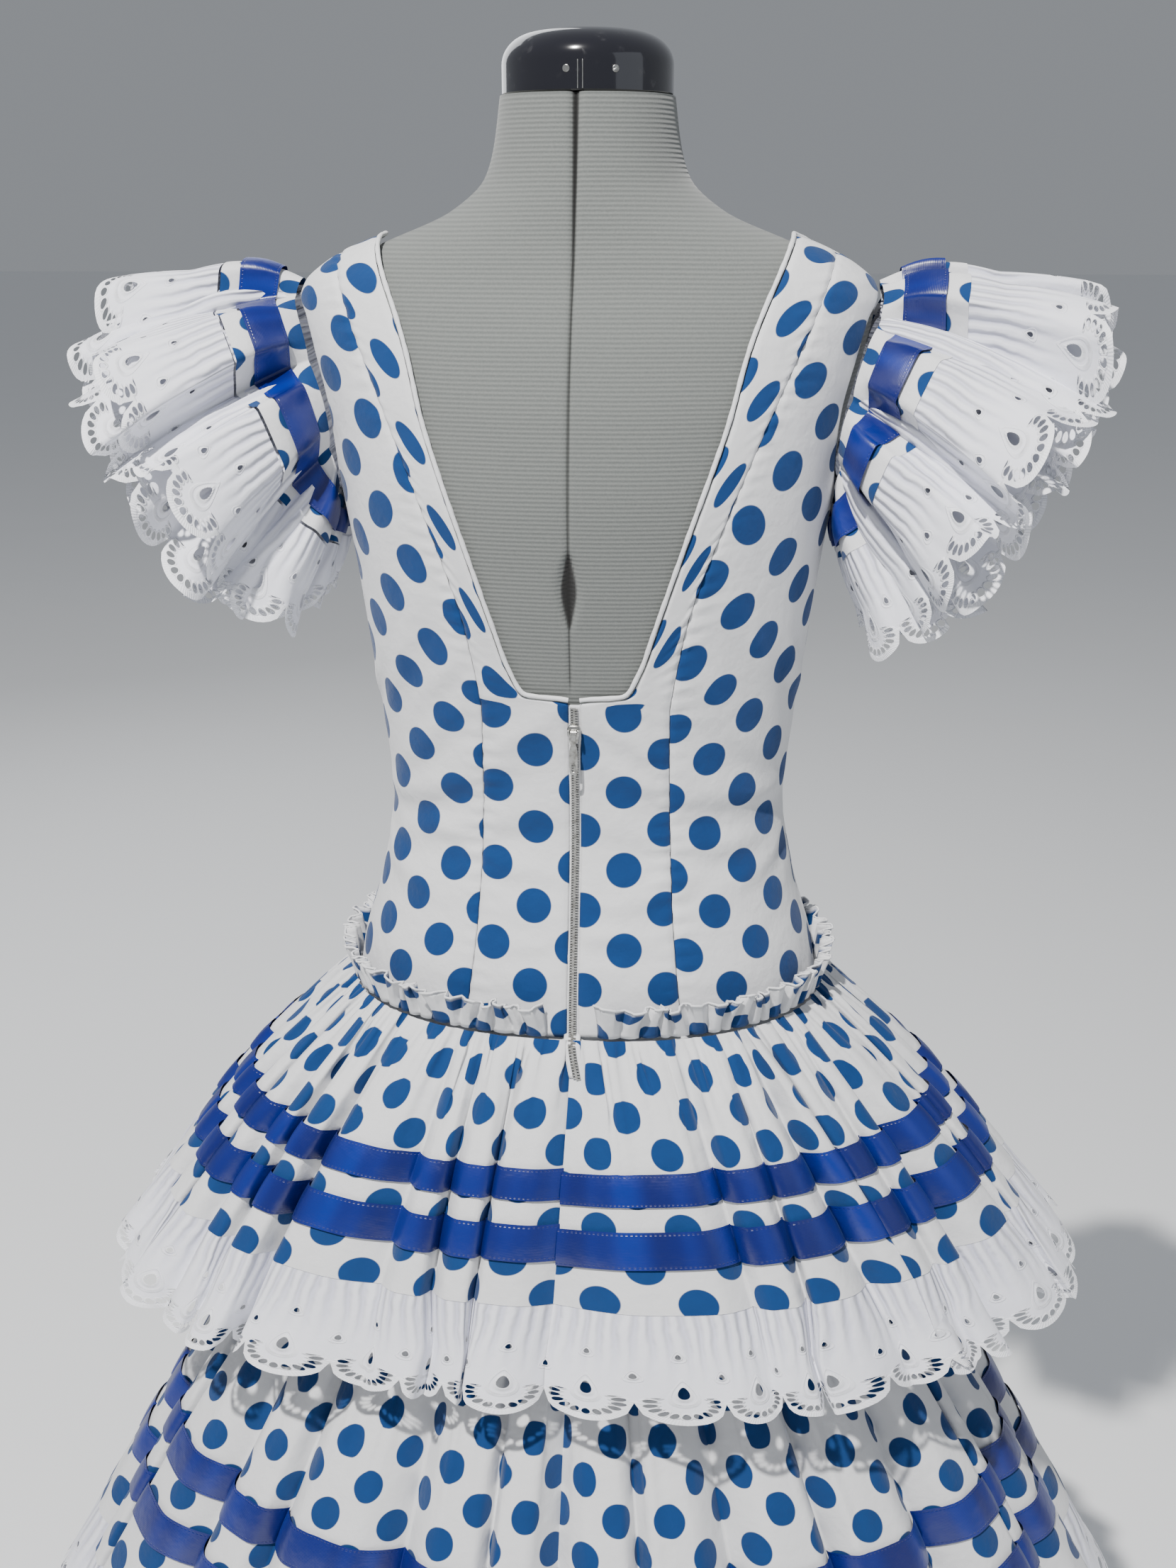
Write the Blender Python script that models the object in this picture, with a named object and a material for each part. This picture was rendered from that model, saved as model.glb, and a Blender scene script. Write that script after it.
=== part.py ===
"""A tiered flamenco dress on a limbless dress form.

Metres, +Z up, floor at z = 0. The wearer faces -Y, so the deep back neckline and its zip are on
the +Y side, and the wearer's left is +X.
"""

import math
from collections import namedtuple

import bmesh
import bpy
from mathutils import Vector

# Cloth walls and the clearances between pieces
WALL = 0.0018
BODICE_WALL = 0.0015
SEAM_GAP = 0.0003
LIFT = 0.0005
BODICE_EASE = 0.0016
SHOULDER_EASE = 0.0030
FORM_INSET = 0.0010

# Levels of the garment
HIP_SEAM = 0.866
UNDERARM = 1.185
SHOULDER_POINT = 1.3175
NECK_BACK = 1.084
NECK_HALF_WIDTH = 0.124

# The body: one row for each level, with half width, depth behind and depth in front
Ring = namedtuple("Ring", "z half_width back front")
BODY = (
    Ring(0.730, 0.155, 0.110, 0.101),
    Ring(0.745, 0.161, 0.115, 0.107),
    Ring(0.820, 0.159, 0.114, 0.108),
    Ring(0.887, 0.151, 0.110, 0.106),
    Ring(0.940, 0.136, 0.098, 0.098),
    Ring(0.997, 0.127, 0.088, 0.092),
    Ring(1.052, 0.132, 0.091, 0.104),
    Ring(1.100, 0.138, 0.097, 0.120),
    Ring(1.156, 0.145, 0.104, 0.126),
    Ring(1.200, 0.152, 0.107, 0.120),
    Ring(1.245, 0.160, 0.103, 0.110),
    Ring(1.285, 0.170, 0.092, 0.100),
    Ring(1.308, 0.174, 0.082, 0.090),
    Ring(1.3175, 0.170, 0.077, 0.085),
    Ring(1.3265, 0.160, 0.073, 0.081),
    Ring(1.3350, 0.145, 0.070, 0.077),
    Ring(1.3440, 0.124, 0.067, 0.072),
    Ring(1.362, 0.082, 0.063, 0.066),
    Ring(1.380, 0.062, 0.059, 0.060),
    Ring(1.397, 0.0565, 0.056, 0.056),
    Ring(1.4245, 0.0525, 0.0525, 0.0525),
)
BODY_SQUARENESS = 2.25
BODY_SIDES = 24
NORMAL_STEP = 0.005
ANGLE_STEP = 0.02

# Neck cap, pole and base of the form
CAP_RADIUS = 0.0505
CAP_BOTTOM = BODY[-1].z + SEAM_GAP
CAP_TOP = 1.461
POLE_RADIUS = 0.016
BASE_RADIUS = 0.165
BASE_EDGE = 0.010
BASE_HUB_RADIUS = 0.026
BASE_HUB_TOP = 0.055
TURNED_SIDES = 24
POLE_SIDES = 12
# The cap's side reaches this share of its height, then rounds over by these turns, in degrees
CAP_SIDE_SHARE = 0.45
CAP_TURNS = (25, 50, 72)
# The base's upper side: (share of its radius, how many edge heights up)
BASE_SLOPE = ((1.0, 0.0), (1.0, 1.0), (0.6, 1.9), (0.205, 2.5))

# Back panels: matching points of the neck or centre edge, the long seam, and the side or armhole.
# The side is given by its angle on the body, in degrees, and its height.
Rib = namedtuple("Rib", "edge_x edge_z seam_x seam_z side_angle side_z")
ZIP_HALF_SLOT = 0.0034
ZIP_TOP = 1.081
BACK_RIBS = (
    Rib(ZIP_HALF_SLOT, HIP_SEAM, 0.069, HIP_SEAM, 0, HIP_SEAM),
    Rib(ZIP_HALF_SLOT, 0.887, 0.067, 0.887, 0, 0.887),
    Rib(ZIP_HALF_SLOT, 0.940, 0.061, 0.940, 0, 0.940),
    Rib(ZIP_HALF_SLOT, 0.997, 0.058, 0.997, 0, 0.997),
    Rib(ZIP_HALF_SLOT, 1.045, 0.057, 1.045, 0, 1.050),
    Rib(ZIP_HALF_SLOT, ZIP_TOP, 0.057, 1.075, 0, 1.090),
    Rib(0.030, NECK_BACK, 0.0584, 1.086, 0, 1.112),
    Rib(0.041, 1.101, 0.066, 1.128, 0, 1.155),
    Rib(0.050, 1.128, 0.076, 1.160, 0, UNDERARM),
    Rib(0.067, 1.180, 0.093, 1.205, 14, 1.215),
    Rib(0.089, 1.245, 0.117, 1.262, 20, 1.260),
    Rib(0.100, 1.286, 0.134, 1.300, 18, 1.300),
    Rib(NECK_HALF_WIDTH, 1.3440, 0.147, 1.3345, 0, SHOULDER_POINT),
)
BACK_COLUMNS = 3
SIDE_COLUMNS = 5
# Where the shoulder rounds over, ribs are added between the ones above: (rib, how many steps)
RIB_STEPS = {8: 2, 9: 2, 10: 2, 11: 6}
STRAP_STEPS = (2, 2, 2, 4)

# Front panel: levels of its body, and the ribs of each strap above the armpit
FRONT_LEVELS = (HIP_SEAM, 0.887, 0.940, 0.997, 1.052, 1.100, 1.145, UNDERARM)
FRONT_COLUMNS = 12
STRAP_COLUMNS = 3
FRONT_NECK_RISE = 0.020
Strap = namedtuple("Strap", "arm_angle arm_z neck_x neck_z")
STRAP_RIBS = (
    Strap(14, 1.215, 0.104, 1.228),
    Strap(20, 1.260, 0.106, 1.268),
    Strap(18, 1.300, 0.112, 1.308),
    Strap(0, SHOULDER_POINT, NECK_HALF_WIDTH, 1.3440),
)
PIPING_RADIUS = 0.0014
PIPING_SIDES = 4
PIPING_AWAY = 0.0022

# Zip
CHAIN_HALF_WIDTH = 0.0027
CHAIN_BOTTOM = 0.8915
CHAIN_TOP = 1.078
CHAIN_THICKNESS = 0.0014
CHAIN_STEPS = 8
SLIDER_Z = 1.062
SLIDER_SIZE = (0.0085, 0.0030, 0.0120)
LUG_RADIUS = 0.0018
LUG_STAND = 0.8
LUG_DEPTH = 0.00432
LUG_WIDTH = 0.0014
PULL_BARREL_RADIUS = 0.0013
PULL_BARREL_LENGTH = 0.0040
PIVOT_RISE = 0.002
PULL_LENGTH = 0.027
PULL_WIDTH = 0.0052
PULL_THICKNESS = 0.0011
PULL_TOP = 0.007
PULL_NECK = (0.0032, PULL_THICKNESS, 0.0068)
PULL_NECK_DOWN = 0.004
PULL_HOLE = (0.0026, 0.0052)
PULL_EDGE = 0.0022
BARREL_SIDES = 8

# Hip frill
FRILL_WAVES = 28
FRILL_GAP_ANGLE = 0.075
FRILL_LOW = 0.8675
FRILL_HIGH = 0.8890
FRILL_ROOT_OUT = 0.0061
FRILL_SPEED = 1.9
FRILL_STAND = 0.0075
FRILL_DEPTH = (0.0022, 0.0050)

# Skirt tiers: sizes at the top of the flounce, at its lower edge and at the lace's edge
Tier = namedtuple("Tier", "name waves top edge lace ribbons seed")
Level = namedtuple("Level", "z half_width back front fold")
Band = namedtuple("Band", "name high low")
TIERS = (
    Tier("tier_1", 22,
         Level(HIP_SEAM - SEAM_GAP, 0.1593, 0.1171, 0.1124, 0.0022),
         Level(0.715, 0.293, 0.184, 0.196, 0.0110),
         Level(0.660, 0.332, 0.203, 0.220, 0.0130),
         (Band("upper_ribbon", 0.48, 0.60), Band("lower_ribbon", 0.69, 0.83)), 0.4),
    Tier("tier_2", 22,
         Level(0.700, 0.1852, 0.1347, 0.1307, 0.0030),
         Level(0.402, 0.368, 0.258, 0.268, 0.0140),
         Level(0.334, 0.404, 0.283, 0.294, 0.0150),
         (Band("upper_ribbon", 0.58, 0.66), Band("lower_ribbon", 0.74, 0.82)), 1.9),
    Tier("tier_3", 22,
         Level(0.440, 0.2712, 0.1852, 0.1872, 0.0040),
         Level(0.142, 0.452, 0.345, 0.350, 0.0160),
         Level(0.075, 0.486, 0.375, 0.380, 0.0170),
         (), 3.1),
)
CLOTH_TILT = 0.35
SHIFT_SPEED = 1.7
STRENGTH_SPEED = 2.4
TIER_COLUMNS_PER_WAVE = 3
FOLD_SHAPE = (-1.0, 0.62, 0.62)
FOLD_VARIATION = 0.22
COLUMN_SHIFT = 0.22
SCALLOP_DEPTH = 0.010
EYELET_HALF_WIDTH = 0.0026
EYELET_HALF_HEIGHT = 0.0042
EYELET_PLACE = 0.42

# Base skirts that carry the second and third tiers. Each one's points lie under the folds of the
# tiers at its top and bottom, given by their place in TIERS, so that the folds rest on it.
Base = namedtuple("Base", "name top upper_tier bottom lower_tier")
BASE_JOIN = 0.6975
BASES = (
    Base("skirt_upper_base",
         Level(HIP_SEAM - 2 * SEAM_GAP, 0.1551, 0.1129, 0.1082, 0.0), 0,
         Level(BASE_JOIN, 0.1800, 0.1295, 0.1255, 0.0), 1),
    Base("skirt_lower_base",
         Level(BASE_JOIN - SEAM_GAP, 0.1800, 0.1295, 0.1255, 0.0), 1,
         Level(0.4375, 0.2655, 0.1795, 0.1815, 0.0), 2),
)
BASE_SKIRT_WALL = 0.0012

# Sleeves: an armhole ring on the body, and the way the cloth leaves it all round
Arm = namedtuple("Arm", "angle z rise lift spread")
OUTER_ARM = Arm(19.0, 1.252, 0.0640, 0.0062, 1.0)
UNDER_ARM = Arm(17.3, 1.2528, 0.0610, 0.0062, 0.74)
SLEEVE_OUT = (0.66, 0.32)
SLEEVE_BACK = 0.62
SLEEVE_RISE = (-0.42, 0.50)
SLEEVE_WAVES = 9
SLEEVE_COLUMNS_PER_WAVE = 3
SLEEVE_SEAM_TURN = 0.004
SLEEVE_FOLD_SPEED = 2.1
TURN_STEP = 0.05
SHOULDER_REACH = 0.010
UNDERARM_CUT = 0.034
SLEEVE_REACH = 0.114
UNDER_REACH = 0.010
SLEEVE_FOLD = (0.0020, 0.0150)
RIBBON_SPAN = (0.10, 0.30)
FLOUNCE_END = 0.40
SLEEVE_SCALLOP = 0.007
RIBBON_WALL = 0.0012


def clear_scene():
    """Removes every object that the scene starts with."""
    for obj in list(bpy.data.objects):
        bpy.data.objects.remove(obj, do_unlink=True)


def material(name, colour, roughness, metallic=0.0):
    """A Principled material of one colour."""
    made = bpy.data.materials.new(name)
    made.use_nodes = True
    shader = made.node_tree.nodes["Principled BSDF"]
    shader.inputs["Base Color"].default_value = (*colour, 1.0)
    shader.inputs["Roughness"].default_value = roughness
    shader.inputs["Metallic"].default_value = metallic
    return made


COLOURS = {
    "jersey": ((0.42, 0.44, 0.42), 0.9, 0.0),
    "black_gloss": ((0.01, 0.01, 0.02), 0.12, 0.0),
    "steel": ((0.62, 0.63, 0.64), 0.3, 1.0),
    "cotton": ((0.80, 0.82, 0.86), 0.8, 0.0),
    "satin": ((0.005, 0.06, 0.42), 0.3, 0.0),
    "lace": ((0.86, 0.87, 0.93), 0.85, 0.0),
}


def add_object(name, builder, kind, smooth=True):
    """Turns a bmesh into a named object with a material of its own."""
    bmesh.ops.recalc_face_normals(builder, faces=builder.faces[:])
    mesh = bpy.data.meshes.new(name)
    builder.to_mesh(mesh)
    builder.free()
    mesh.materials.append(material(name, *COLOURS[kind]))
    if smooth:
        mesh.shade_smooth()
        mesh.set_sharp_from_angle(angle=math.radians(50))
    obj = bpy.data.objects.new(name, mesh)
    bpy.context.scene.collection.objects.link(obj)
    return obj


def wall(name, outer, inner, faces, kind):
    """A closed wall between two matching sets of points, with every free edge of its faces joined."""
    builder = bmesh.new()
    count = len(outer)
    verts = [builder.verts.new(point) for point in (*outer, *inner)]
    edges = {}
    for face in faces:
        builder.faces.new([verts[i] for i in face])
        builder.faces.new([verts[i + count] for i in reversed(face)])
        for start, end in zip(face, face[1:] + face[:1]):
            key = (min(start, end), max(start, end))
            edges.setdefault(key, []).append((start, end))
    for used in edges.values():
        if len(used) == 1:
            start, end = used[0]
            builder.faces.new([verts[end], verts[start], verts[start + count]])
            builder.faces.new([verts[end], verts[start + count], verts[end + count]])
    loose = [vert for vert in builder.verts if not vert.link_faces]
    bmesh.ops.delete(builder, geom=loose, context="VERTS")
    return add_object(name, builder, kind)


def grid_faces(rows, columns, closed=False, first=0):
    """Triangles of a grid of points in rows, with the last column joined to the first if closed."""
    faces = []
    across = columns if closed else columns - 1
    for row in range(rows - 1):
        for column in range(across):
            a = first + row * columns + column
            b = first + row * columns + (column + 1) % columns
            c = b + columns
            d = a + columns
            faces += [[a, b, c], [a, c, d]]
    return faces


def between(low, high, share):
    """The value at this share of the way from low to high."""
    return low + (high - low) * share


def body_size(z):
    """Half width, depth behind and depth in front of the body at this height."""
    for low, high in zip(BODY, BODY[1:]):
        if z <= high.z:
            break
    share = (z - low.z) / (high.z - low.z)
    return tuple(between(a, b, share) for a, b in zip(low[1:], high[1:]))


def flattened(value):
    """A cosine or sine drawn out so that a round section becomes a squarer one."""
    return math.copysign(abs(value) ** (2 / BODY_SQUARENESS), value)


def skin(angle, z):
    """The body's surface: angle 0 at the wearer's left side, a quarter turn at the centre back."""
    half_width, back, front = body_size(z)
    depth = back if math.sin(angle) >= 0 else front
    return Vector((half_width * flattened(math.cos(angle)), depth * flattened(math.sin(angle)), z))


def body_point(angle, z, out=0.0):
    """A point that stands out from the body's surface by this much."""
    along = skin(angle + ANGLE_STEP, z) - skin(angle - ANGLE_STEP, z)
    up = skin(angle, z + NORMAL_STEP) - skin(angle, z - NORMAL_STEP)
    return skin(angle, z) + along.cross(up).normalized() * out


def angle_at(x, z):
    """The angle of the point of the body's back at this distance from the middle."""
    half_width = body_size(z)[0]
    return math.acos(min(1.0, abs(x) / half_width) ** (BODY_SQUARENESS / 2))


def seam_angle(z):
    """Half of a seam's gap, as an angle at this height."""
    return 0.5 * SEAM_GAP / body_size(z)[0]


def ease(z):
    """The room between body and bodice, least on the shoulders that carry the dress."""
    return SHOULDER_EASE if z > SHOULDER_POINT else BODICE_EASE


def body_panel(name, places, faces, side=1):
    """A panel of cloth over the body. places are (angle, z), and side -1 mirrors it."""
    outer = [body_point(angle, z, ease(z) + BODICE_WALL) for angle, z in places]
    inner = [body_point(angle, z, ease(z)) for angle, z in places]
    for point in (*outer, *inner):
        point.x *= side
    return wall(name, outer, inner, faces, "cotton")


def spread(start, end, columns):
    """Points evenly from one (angle, z) to another."""
    return [
        (between(start[0], end[0], i / columns), between(start[1], end[1], i / columns))
        for i in range(columns + 1)
    ]


def mixed(low, high, share):
    """A row of named numbers at this share of the way between two."""
    return type(low)(*(between(a, b, share) for a, b in zip(low, high)))


def stepped_ribs():
    """The back ribs with the added ones."""
    ribs = []
    for i, (low, high) in enumerate(zip(BACK_RIBS, BACK_RIBS[1:])):
        steps = RIB_STEPS.get(i, 1)
        ribs += [mixed(low, high, step / steps) for step in range(steps)]
    return [*ribs, BACK_RIBS[-1]]


def back_panels(side, word):
    """A centre back and a side back, meeting at the long seam from shoulder to hip."""
    centre = []
    outside = []
    ribs = stepped_ribs()
    for rib in ribs:
        gap = seam_angle(rib.seam_z)
        seam = angle_at(rib.seam_x, rib.seam_z)
        edge = max(angle_at(rib.edge_x, rib.edge_z), gap)
        arm = max(math.radians(rib.side_angle), gap)
        centre += spread((edge, rib.edge_z), (max(seam + gap, gap), rib.seam_z), BACK_COLUMNS)
        outside += spread((max(seam - gap, gap), rib.seam_z), (arm, rib.side_z), SIDE_COLUMNS)
    # The two panels part along the shoulder too, where the seam's angle is nothing.
    top = BACK_RIBS[-1]
    middle = len(centre) - 1
    centre[middle] = (centre[middle][0], top.seam_z + SEAM_GAP)
    rows = len(ribs)
    body_panel(f"bodice_back_{word}", centre, grid_faces(rows, BACK_COLUMNS + 1), side)
    body_panel(f"bodice_side_back_{word}", outside, grid_faces(rows, SIDE_COLUMNS + 1), side)


def front_level(level, share):
    """The height of a front row across the body: the top row rises towards the neck's corners."""
    if level < UNDERARM:
        return level
    return level + FRONT_NECK_RISE * math.sin(math.pi * share) ** 2


def strap_rows(gap):
    """Each strap row's places from armhole to neck, on the wearer's left."""
    rows = []
    share = STRAP_COLUMNS / FRONT_COLUMNS
    low = ((-gap, UNDERARM), (-math.pi * share, front_level(UNDERARM, share)))
    for rib, steps in zip(STRAP_RIBS, STRAP_STEPS):
        arm = -max(math.radians(rib.arm_angle), gap)
        neck = -max(angle_at(rib.neck_x, rib.neck_z), gap)
        high = ((arm, rib.arm_z), (neck, rib.neck_z))
        for step in range(1, steps + 1):
            ends = [
                tuple(between(a, b, step / steps) for a, b in zip(start, end))
                for start, end in zip(low, high)
            ]
            rows.append(spread(*ends, STRAP_COLUMNS))
        low = high
    return rows


def front_panel():
    """The front from side seam to side seam, with a strap over each shoulder."""
    gap = seam_angle(HIP_SEAM)
    places = []
    for level in FRONT_LEVELS:
        for i in range(FRONT_COLUMNS + 1):
            share = i / FRONT_COLUMNS
            places.append((between(-gap, gap - math.pi, share), front_level(level, share)))
    columns = FRONT_COLUMNS + 1
    faces = grid_faces(len(FRONT_LEVELS), columns)
    top_row = (len(FRONT_LEVELS) - 1) * columns
    for mirrored in (False, True):
        below = [top_row + i for i in range(STRAP_COLUMNS + 1)]
        if mirrored:
            below = [top_row + FRONT_COLUMNS - i for i in range(STRAP_COLUMNS + 1)]
        for row in strap_rows(gap):
            above = list(range(len(places), len(places) + len(row)))
            places += [(-math.pi - angle, z) if mirrored else (angle, z) for angle, z in row]
            for i in range(STRAP_COLUMNS):
                quad = [below[i], below[i + 1], above[i + 1], above[i]]
                if mirrored:
                    quad.reverse()
                faces += [quad[:3], [quad[0], quad[2], quad[3]]]
            below = above
    body_panel("bodice_front", places, faces)


def neck_path():
    """The neck edge's places, from the centre back round the front and back to the start."""
    ribs = [rib for rib in stepped_ribs()[:-1] if rib.edge_z >= ZIP_TOP]
    half = [(angle_at(rib.edge_x, rib.edge_z), rib.edge_z) for rib in ribs]
    half.append((0.0, BACK_RIBS[-1].edge_z))
    half += [row[-1] for row in strap_rows(seam_angle(HIP_SEAM))[-2::-1]]
    for i in range(STRAP_COLUMNS, FRONT_COLUMNS // 2 + 1):
        share = i / FRONT_COLUMNS
        half.append((-math.pi * share, front_level(UNDERARM, share)))
    other = [(math.pi - angle, z) for angle, z in reversed(half[:-1])]
    return half + other


def tube(name, path, normals, radius, sides, kind):
    """A rod of this radius along a path, with flat ends."""
    builder = bmesh.new()
    rings = []
    for i, point in enumerate(path):
        before = path[max(i - 1, 0)]
        after = path[min(i + 1, len(path) - 1)]
        along = (after - before).normalized()
        across = along.cross(normals[i]).normalized()
        up = across.cross(along)
        ring = []
        for k in range(sides):
            turn = math.tau * (k + 0.5) / sides
            offset = across * math.cos(turn) + up * math.sin(turn)
            ring.append(builder.verts.new(point + offset * radius))
        rings.append(ring)
    for low, high in zip(rings, rings[1:]):
        for k in range(sides):
            other = (k + 1) % sides
            builder.faces.new([low[k], low[other], high[other]])
            builder.faces.new([low[k], high[other], high[k]])
    builder.faces.new(rings[0])
    builder.faces.new(rings[-1])
    return add_object(name, builder, kind)


def neck_piping():
    """Rounded white piping just beyond the neck edge, open at the zip."""
    places = neck_path()
    lift = BODICE_WALL / 2
    path = [body_point(angle, z, ease(z) + lift) for angle, z in places]
    normals = [body_point(angle, z, 1.0) - body_point(angle, z) for angle, z in places]
    moved = []
    for i, point in enumerate(path):
        before = path[max(i - 1, 0)]
        after = path[min(i + 1, len(path) - 1)]
        along = (after - point).normalized() + (point - before).normalized()
        moved.append(point + along.cross(normals[i]).normalized() * PIPING_AWAY)
    tube("neck_piping", moved, normals, PIPING_RADIUS, PIPING_SIDES, "cotton")


def turned(name, profile, kind, sides=TURNED_SIDES):
    """A solid of revolution about Z from (radius, z) pairs, from its bottom centre to its top."""
    builder = bmesh.new()
    rings = []
    for radius, z in profile:
        ring = [
            builder.verts.new((radius * math.cos(a), radius * math.sin(a), z))
            for a in (math.tau * i / sides for i in range(sides))
        ]
        rings.append(ring)
    for low, high in zip(rings, rings[1:]):
        for i in range(sides):
            other = (i + 1) % sides
            builder.faces.new([low[i], low[other], high[other], high[i]])
    builder.faces.new(rings[0])
    builder.faces.new(rings[-1])
    return add_object(name, builder, kind)


def form_point(angle, z):
    """The form's surface, a little inside the body that the cloth is cut for, and flat below."""
    point = body_point(angle, z, -FORM_INSET)
    if z == BODY[0].z:
        point.z = z
    return point


def dress_form():
    """The torso, with its glossy neck cap above and its pole and round base below."""
    builder = bmesh.new()
    rings = []
    for row in BODY:
        angles = [math.tau * i / BODY_SIDES for i in range(BODY_SIDES)]
        rings.append([builder.verts.new(form_point(angle, row.z)) for angle in angles])
    for low, high in zip(rings, rings[1:]):
        for i in range(BODY_SIDES):
            other = (i + 1) % BODY_SIDES
            builder.faces.new([low[i], low[other], high[other]])
            builder.faces.new([low[i], high[other], high[i]])
    builder.faces.new(rings[0])
    builder.faces.new(rings[-1])
    add_object("form_torso", builder, "jersey")
    cap_height = CAP_TOP - CAP_BOTTOM
    cap = [(CAP_RADIUS, CAP_BOTTOM), (CAP_RADIUS, CAP_BOTTOM + CAP_SIDE_SHARE * cap_height)]
    for turn in CAP_TURNS:
        across = math.cos(math.radians(turn))
        up = math.sin(math.radians(turn))
        cap.append((
            CAP_RADIUS * between(CAP_SIDE_SHARE, 1.0, across),
            CAP_BOTTOM + cap_height * between(CAP_SIDE_SHARE, 1.0, up),
        ))
    turned("form_neck_cap", cap, "black_gloss")
    bottom = BODY[0].z - SEAM_GAP
    pole = [(POLE_RADIUS, BASE_HUB_TOP + SEAM_GAP), (POLE_RADIUS, bottom)]
    turned("form_pole", pole, "steel", POLE_SIDES)
    base = [(BASE_RADIUS * share, BASE_EDGE * rise) for share, rise in BASE_SLOPE]
    turned("form_base", [*base, (BASE_HUB_RADIUS, BASE_HUB_TOP)], "black_gloss")


def zip_surface(z):
    """How far behind the middle the zip lies at this height."""
    return body_point(math.pi / 2, z, BODICE_EASE).y


def box(builder, centre, size):
    """Adds a box to a bmesh."""
    made = bmesh.ops.create_cube(builder, size=1.0)["verts"]
    bmesh.ops.scale(builder, verts=made, vec=size)
    bmesh.ops.translate(builder, verts=made, vec=centre)


def unite(target, *others):
    """Joins solids into one by an exact Boolean, and removes the spare ones."""
    for other in others:
        joined = target.modifiers.new("join", "BOOLEAN")
        joined.operation = "UNION"
        joined.solver = "EXACT"
        joined.object = other
    bpy.context.view_layer.update()
    graph = bpy.context.evaluated_depsgraph_get()
    mesh = bpy.data.meshes.new_from_object(target.evaluated_get(graph))
    target.modifiers.clear()
    target.data = mesh
    for other in others:
        bpy.data.objects.remove(other, do_unlink=True)


def zip_fastener():
    """The chain between the two centre backs, the slider at its top, and the hanging pull tab."""
    zip_chain()
    pivot = zip_slider()
    zip_pull(pivot)


def zip_chain():
    """The closed teeth, as one bar."""
    levels = [between(CHAIN_BOTTOM, CHAIN_TOP, i / CHAIN_STEPS) for i in range(CHAIN_STEPS + 1)]
    outer = []
    inner = []
    for z in levels:
        y = zip_surface(z)
        for x in (-CHAIN_HALF_WIDTH, CHAIN_HALF_WIDTH):
            inner.append(Vector((x, y, z)))
            outer.append(Vector((x, y + CHAIN_THICKNESS, z)))
    wall("zip_chain", outer, inner, grid_faces(len(levels), 2), "steel")


def zip_slider():
    """The slider with two lugs that hold the pull tab. Returns the tab's hinge point."""
    ends = [zip_surface(SLIDER_Z + end * SLIDER_SIZE[2] / 2) for end in (-1, 1)]
    slider_y = max(ends) + CHAIN_THICKNESS + SEAM_GAP + SLIDER_SIZE[1] / 2
    pivot_y = slider_y + SLIDER_SIZE[1] / 2 + LUG_RADIUS * LUG_STAND
    pivot = Vector((0.0, pivot_y, SLIDER_Z + PIVOT_RISE))
    builder = bmesh.new()
    box(builder, (0.0, slider_y, SLIDER_Z), SLIDER_SIZE)
    slider = add_object("zip_slider", builder, "steel", smooth=False)
    lugs = []
    for side in (-1, 1):
        builder = bmesh.new()
        centre_x = side * (PULL_BARREL_LENGTH / 2 + SEAM_GAP + LUG_WIDTH / 2)
        box(builder, (centre_x, pivot.y - LUG_DEPTH / 2 + LUG_RADIUS, pivot.z),
            (LUG_WIDTH, LUG_DEPTH, LUG_RADIUS * 2))
        lugs.append(add_object(f"lug_{side}", builder, "steel", smooth=False))
    unite(slider, *lugs)
    return pivot


def rectangle(half_width, high, low):
    """The corners of an upright rectangle about x = 0."""
    return [(-half_width, high), (half_width, high), (half_width, low), (-half_width, low)]


def pull_plate():
    """The tab's flat plate with a slot near its lower end."""
    builder = bmesh.new()
    slot_low = PULL_EDGE - PULL_LENGTH
    outline = rectangle(PULL_WIDTH / 2, -PULL_TOP, -PULL_LENGTH)
    slot = rectangle(PULL_HOLE[0] / 2, slot_low + PULL_HOLE[1], slot_low)
    layers = []
    for y in (-PULL_THICKNESS / 2, PULL_THICKNESS / 2):
        layers.append([builder.verts.new((x, y, z)) for x, z in outline + slot])
    near, far = layers
    corners = len(outline)
    for k in range(corners):
        other = (k + 1) % corners
        for layer in layers:
            builder.faces.new([layer[k], layer[other], layer[other + corners], layer[k + corners]])
        for i, j in ((k, other), (k + corners, other + corners)):
            builder.faces.new([near[i], near[j], far[j], far[i]])
    return add_object("pull_plate", builder, "steel", smooth=False)


def zip_pull(pivot):
    """The tab: a barrel between the lugs, a narrow neck, and the plate that hangs from it."""
    builder = bmesh.new()
    ends = []
    for x in (-PULL_BARREL_LENGTH / 2, PULL_BARREL_LENGTH / 2):
        ring = []
        for side in range(BARREL_SIDES):
            turn = math.tau * (side + 0.5) / BARREL_SIDES
            y = PULL_BARREL_RADIUS * math.cos(turn)
            ring.append(builder.verts.new((x, y, PULL_BARREL_RADIUS * math.sin(turn))))
        ends.append(ring)
    left, right = ends
    for k in range(BARREL_SIDES):
        other = (k + 1) % BARREL_SIDES
        builder.faces.new([left[k], left[other], right[other], right[k]])
    builder.faces.new(left)
    builder.faces.new(right)
    pull = add_object("zip_pull", builder, "steel", smooth=False)
    builder = bmesh.new()
    box(builder, (0.0, 0.0, -PULL_NECK_DOWN), PULL_NECK)
    neck = add_object("pull_neck", builder, "steel", smooth=False)
    unite(pull, neck, pull_plate())
    pull.location = pivot


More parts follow.
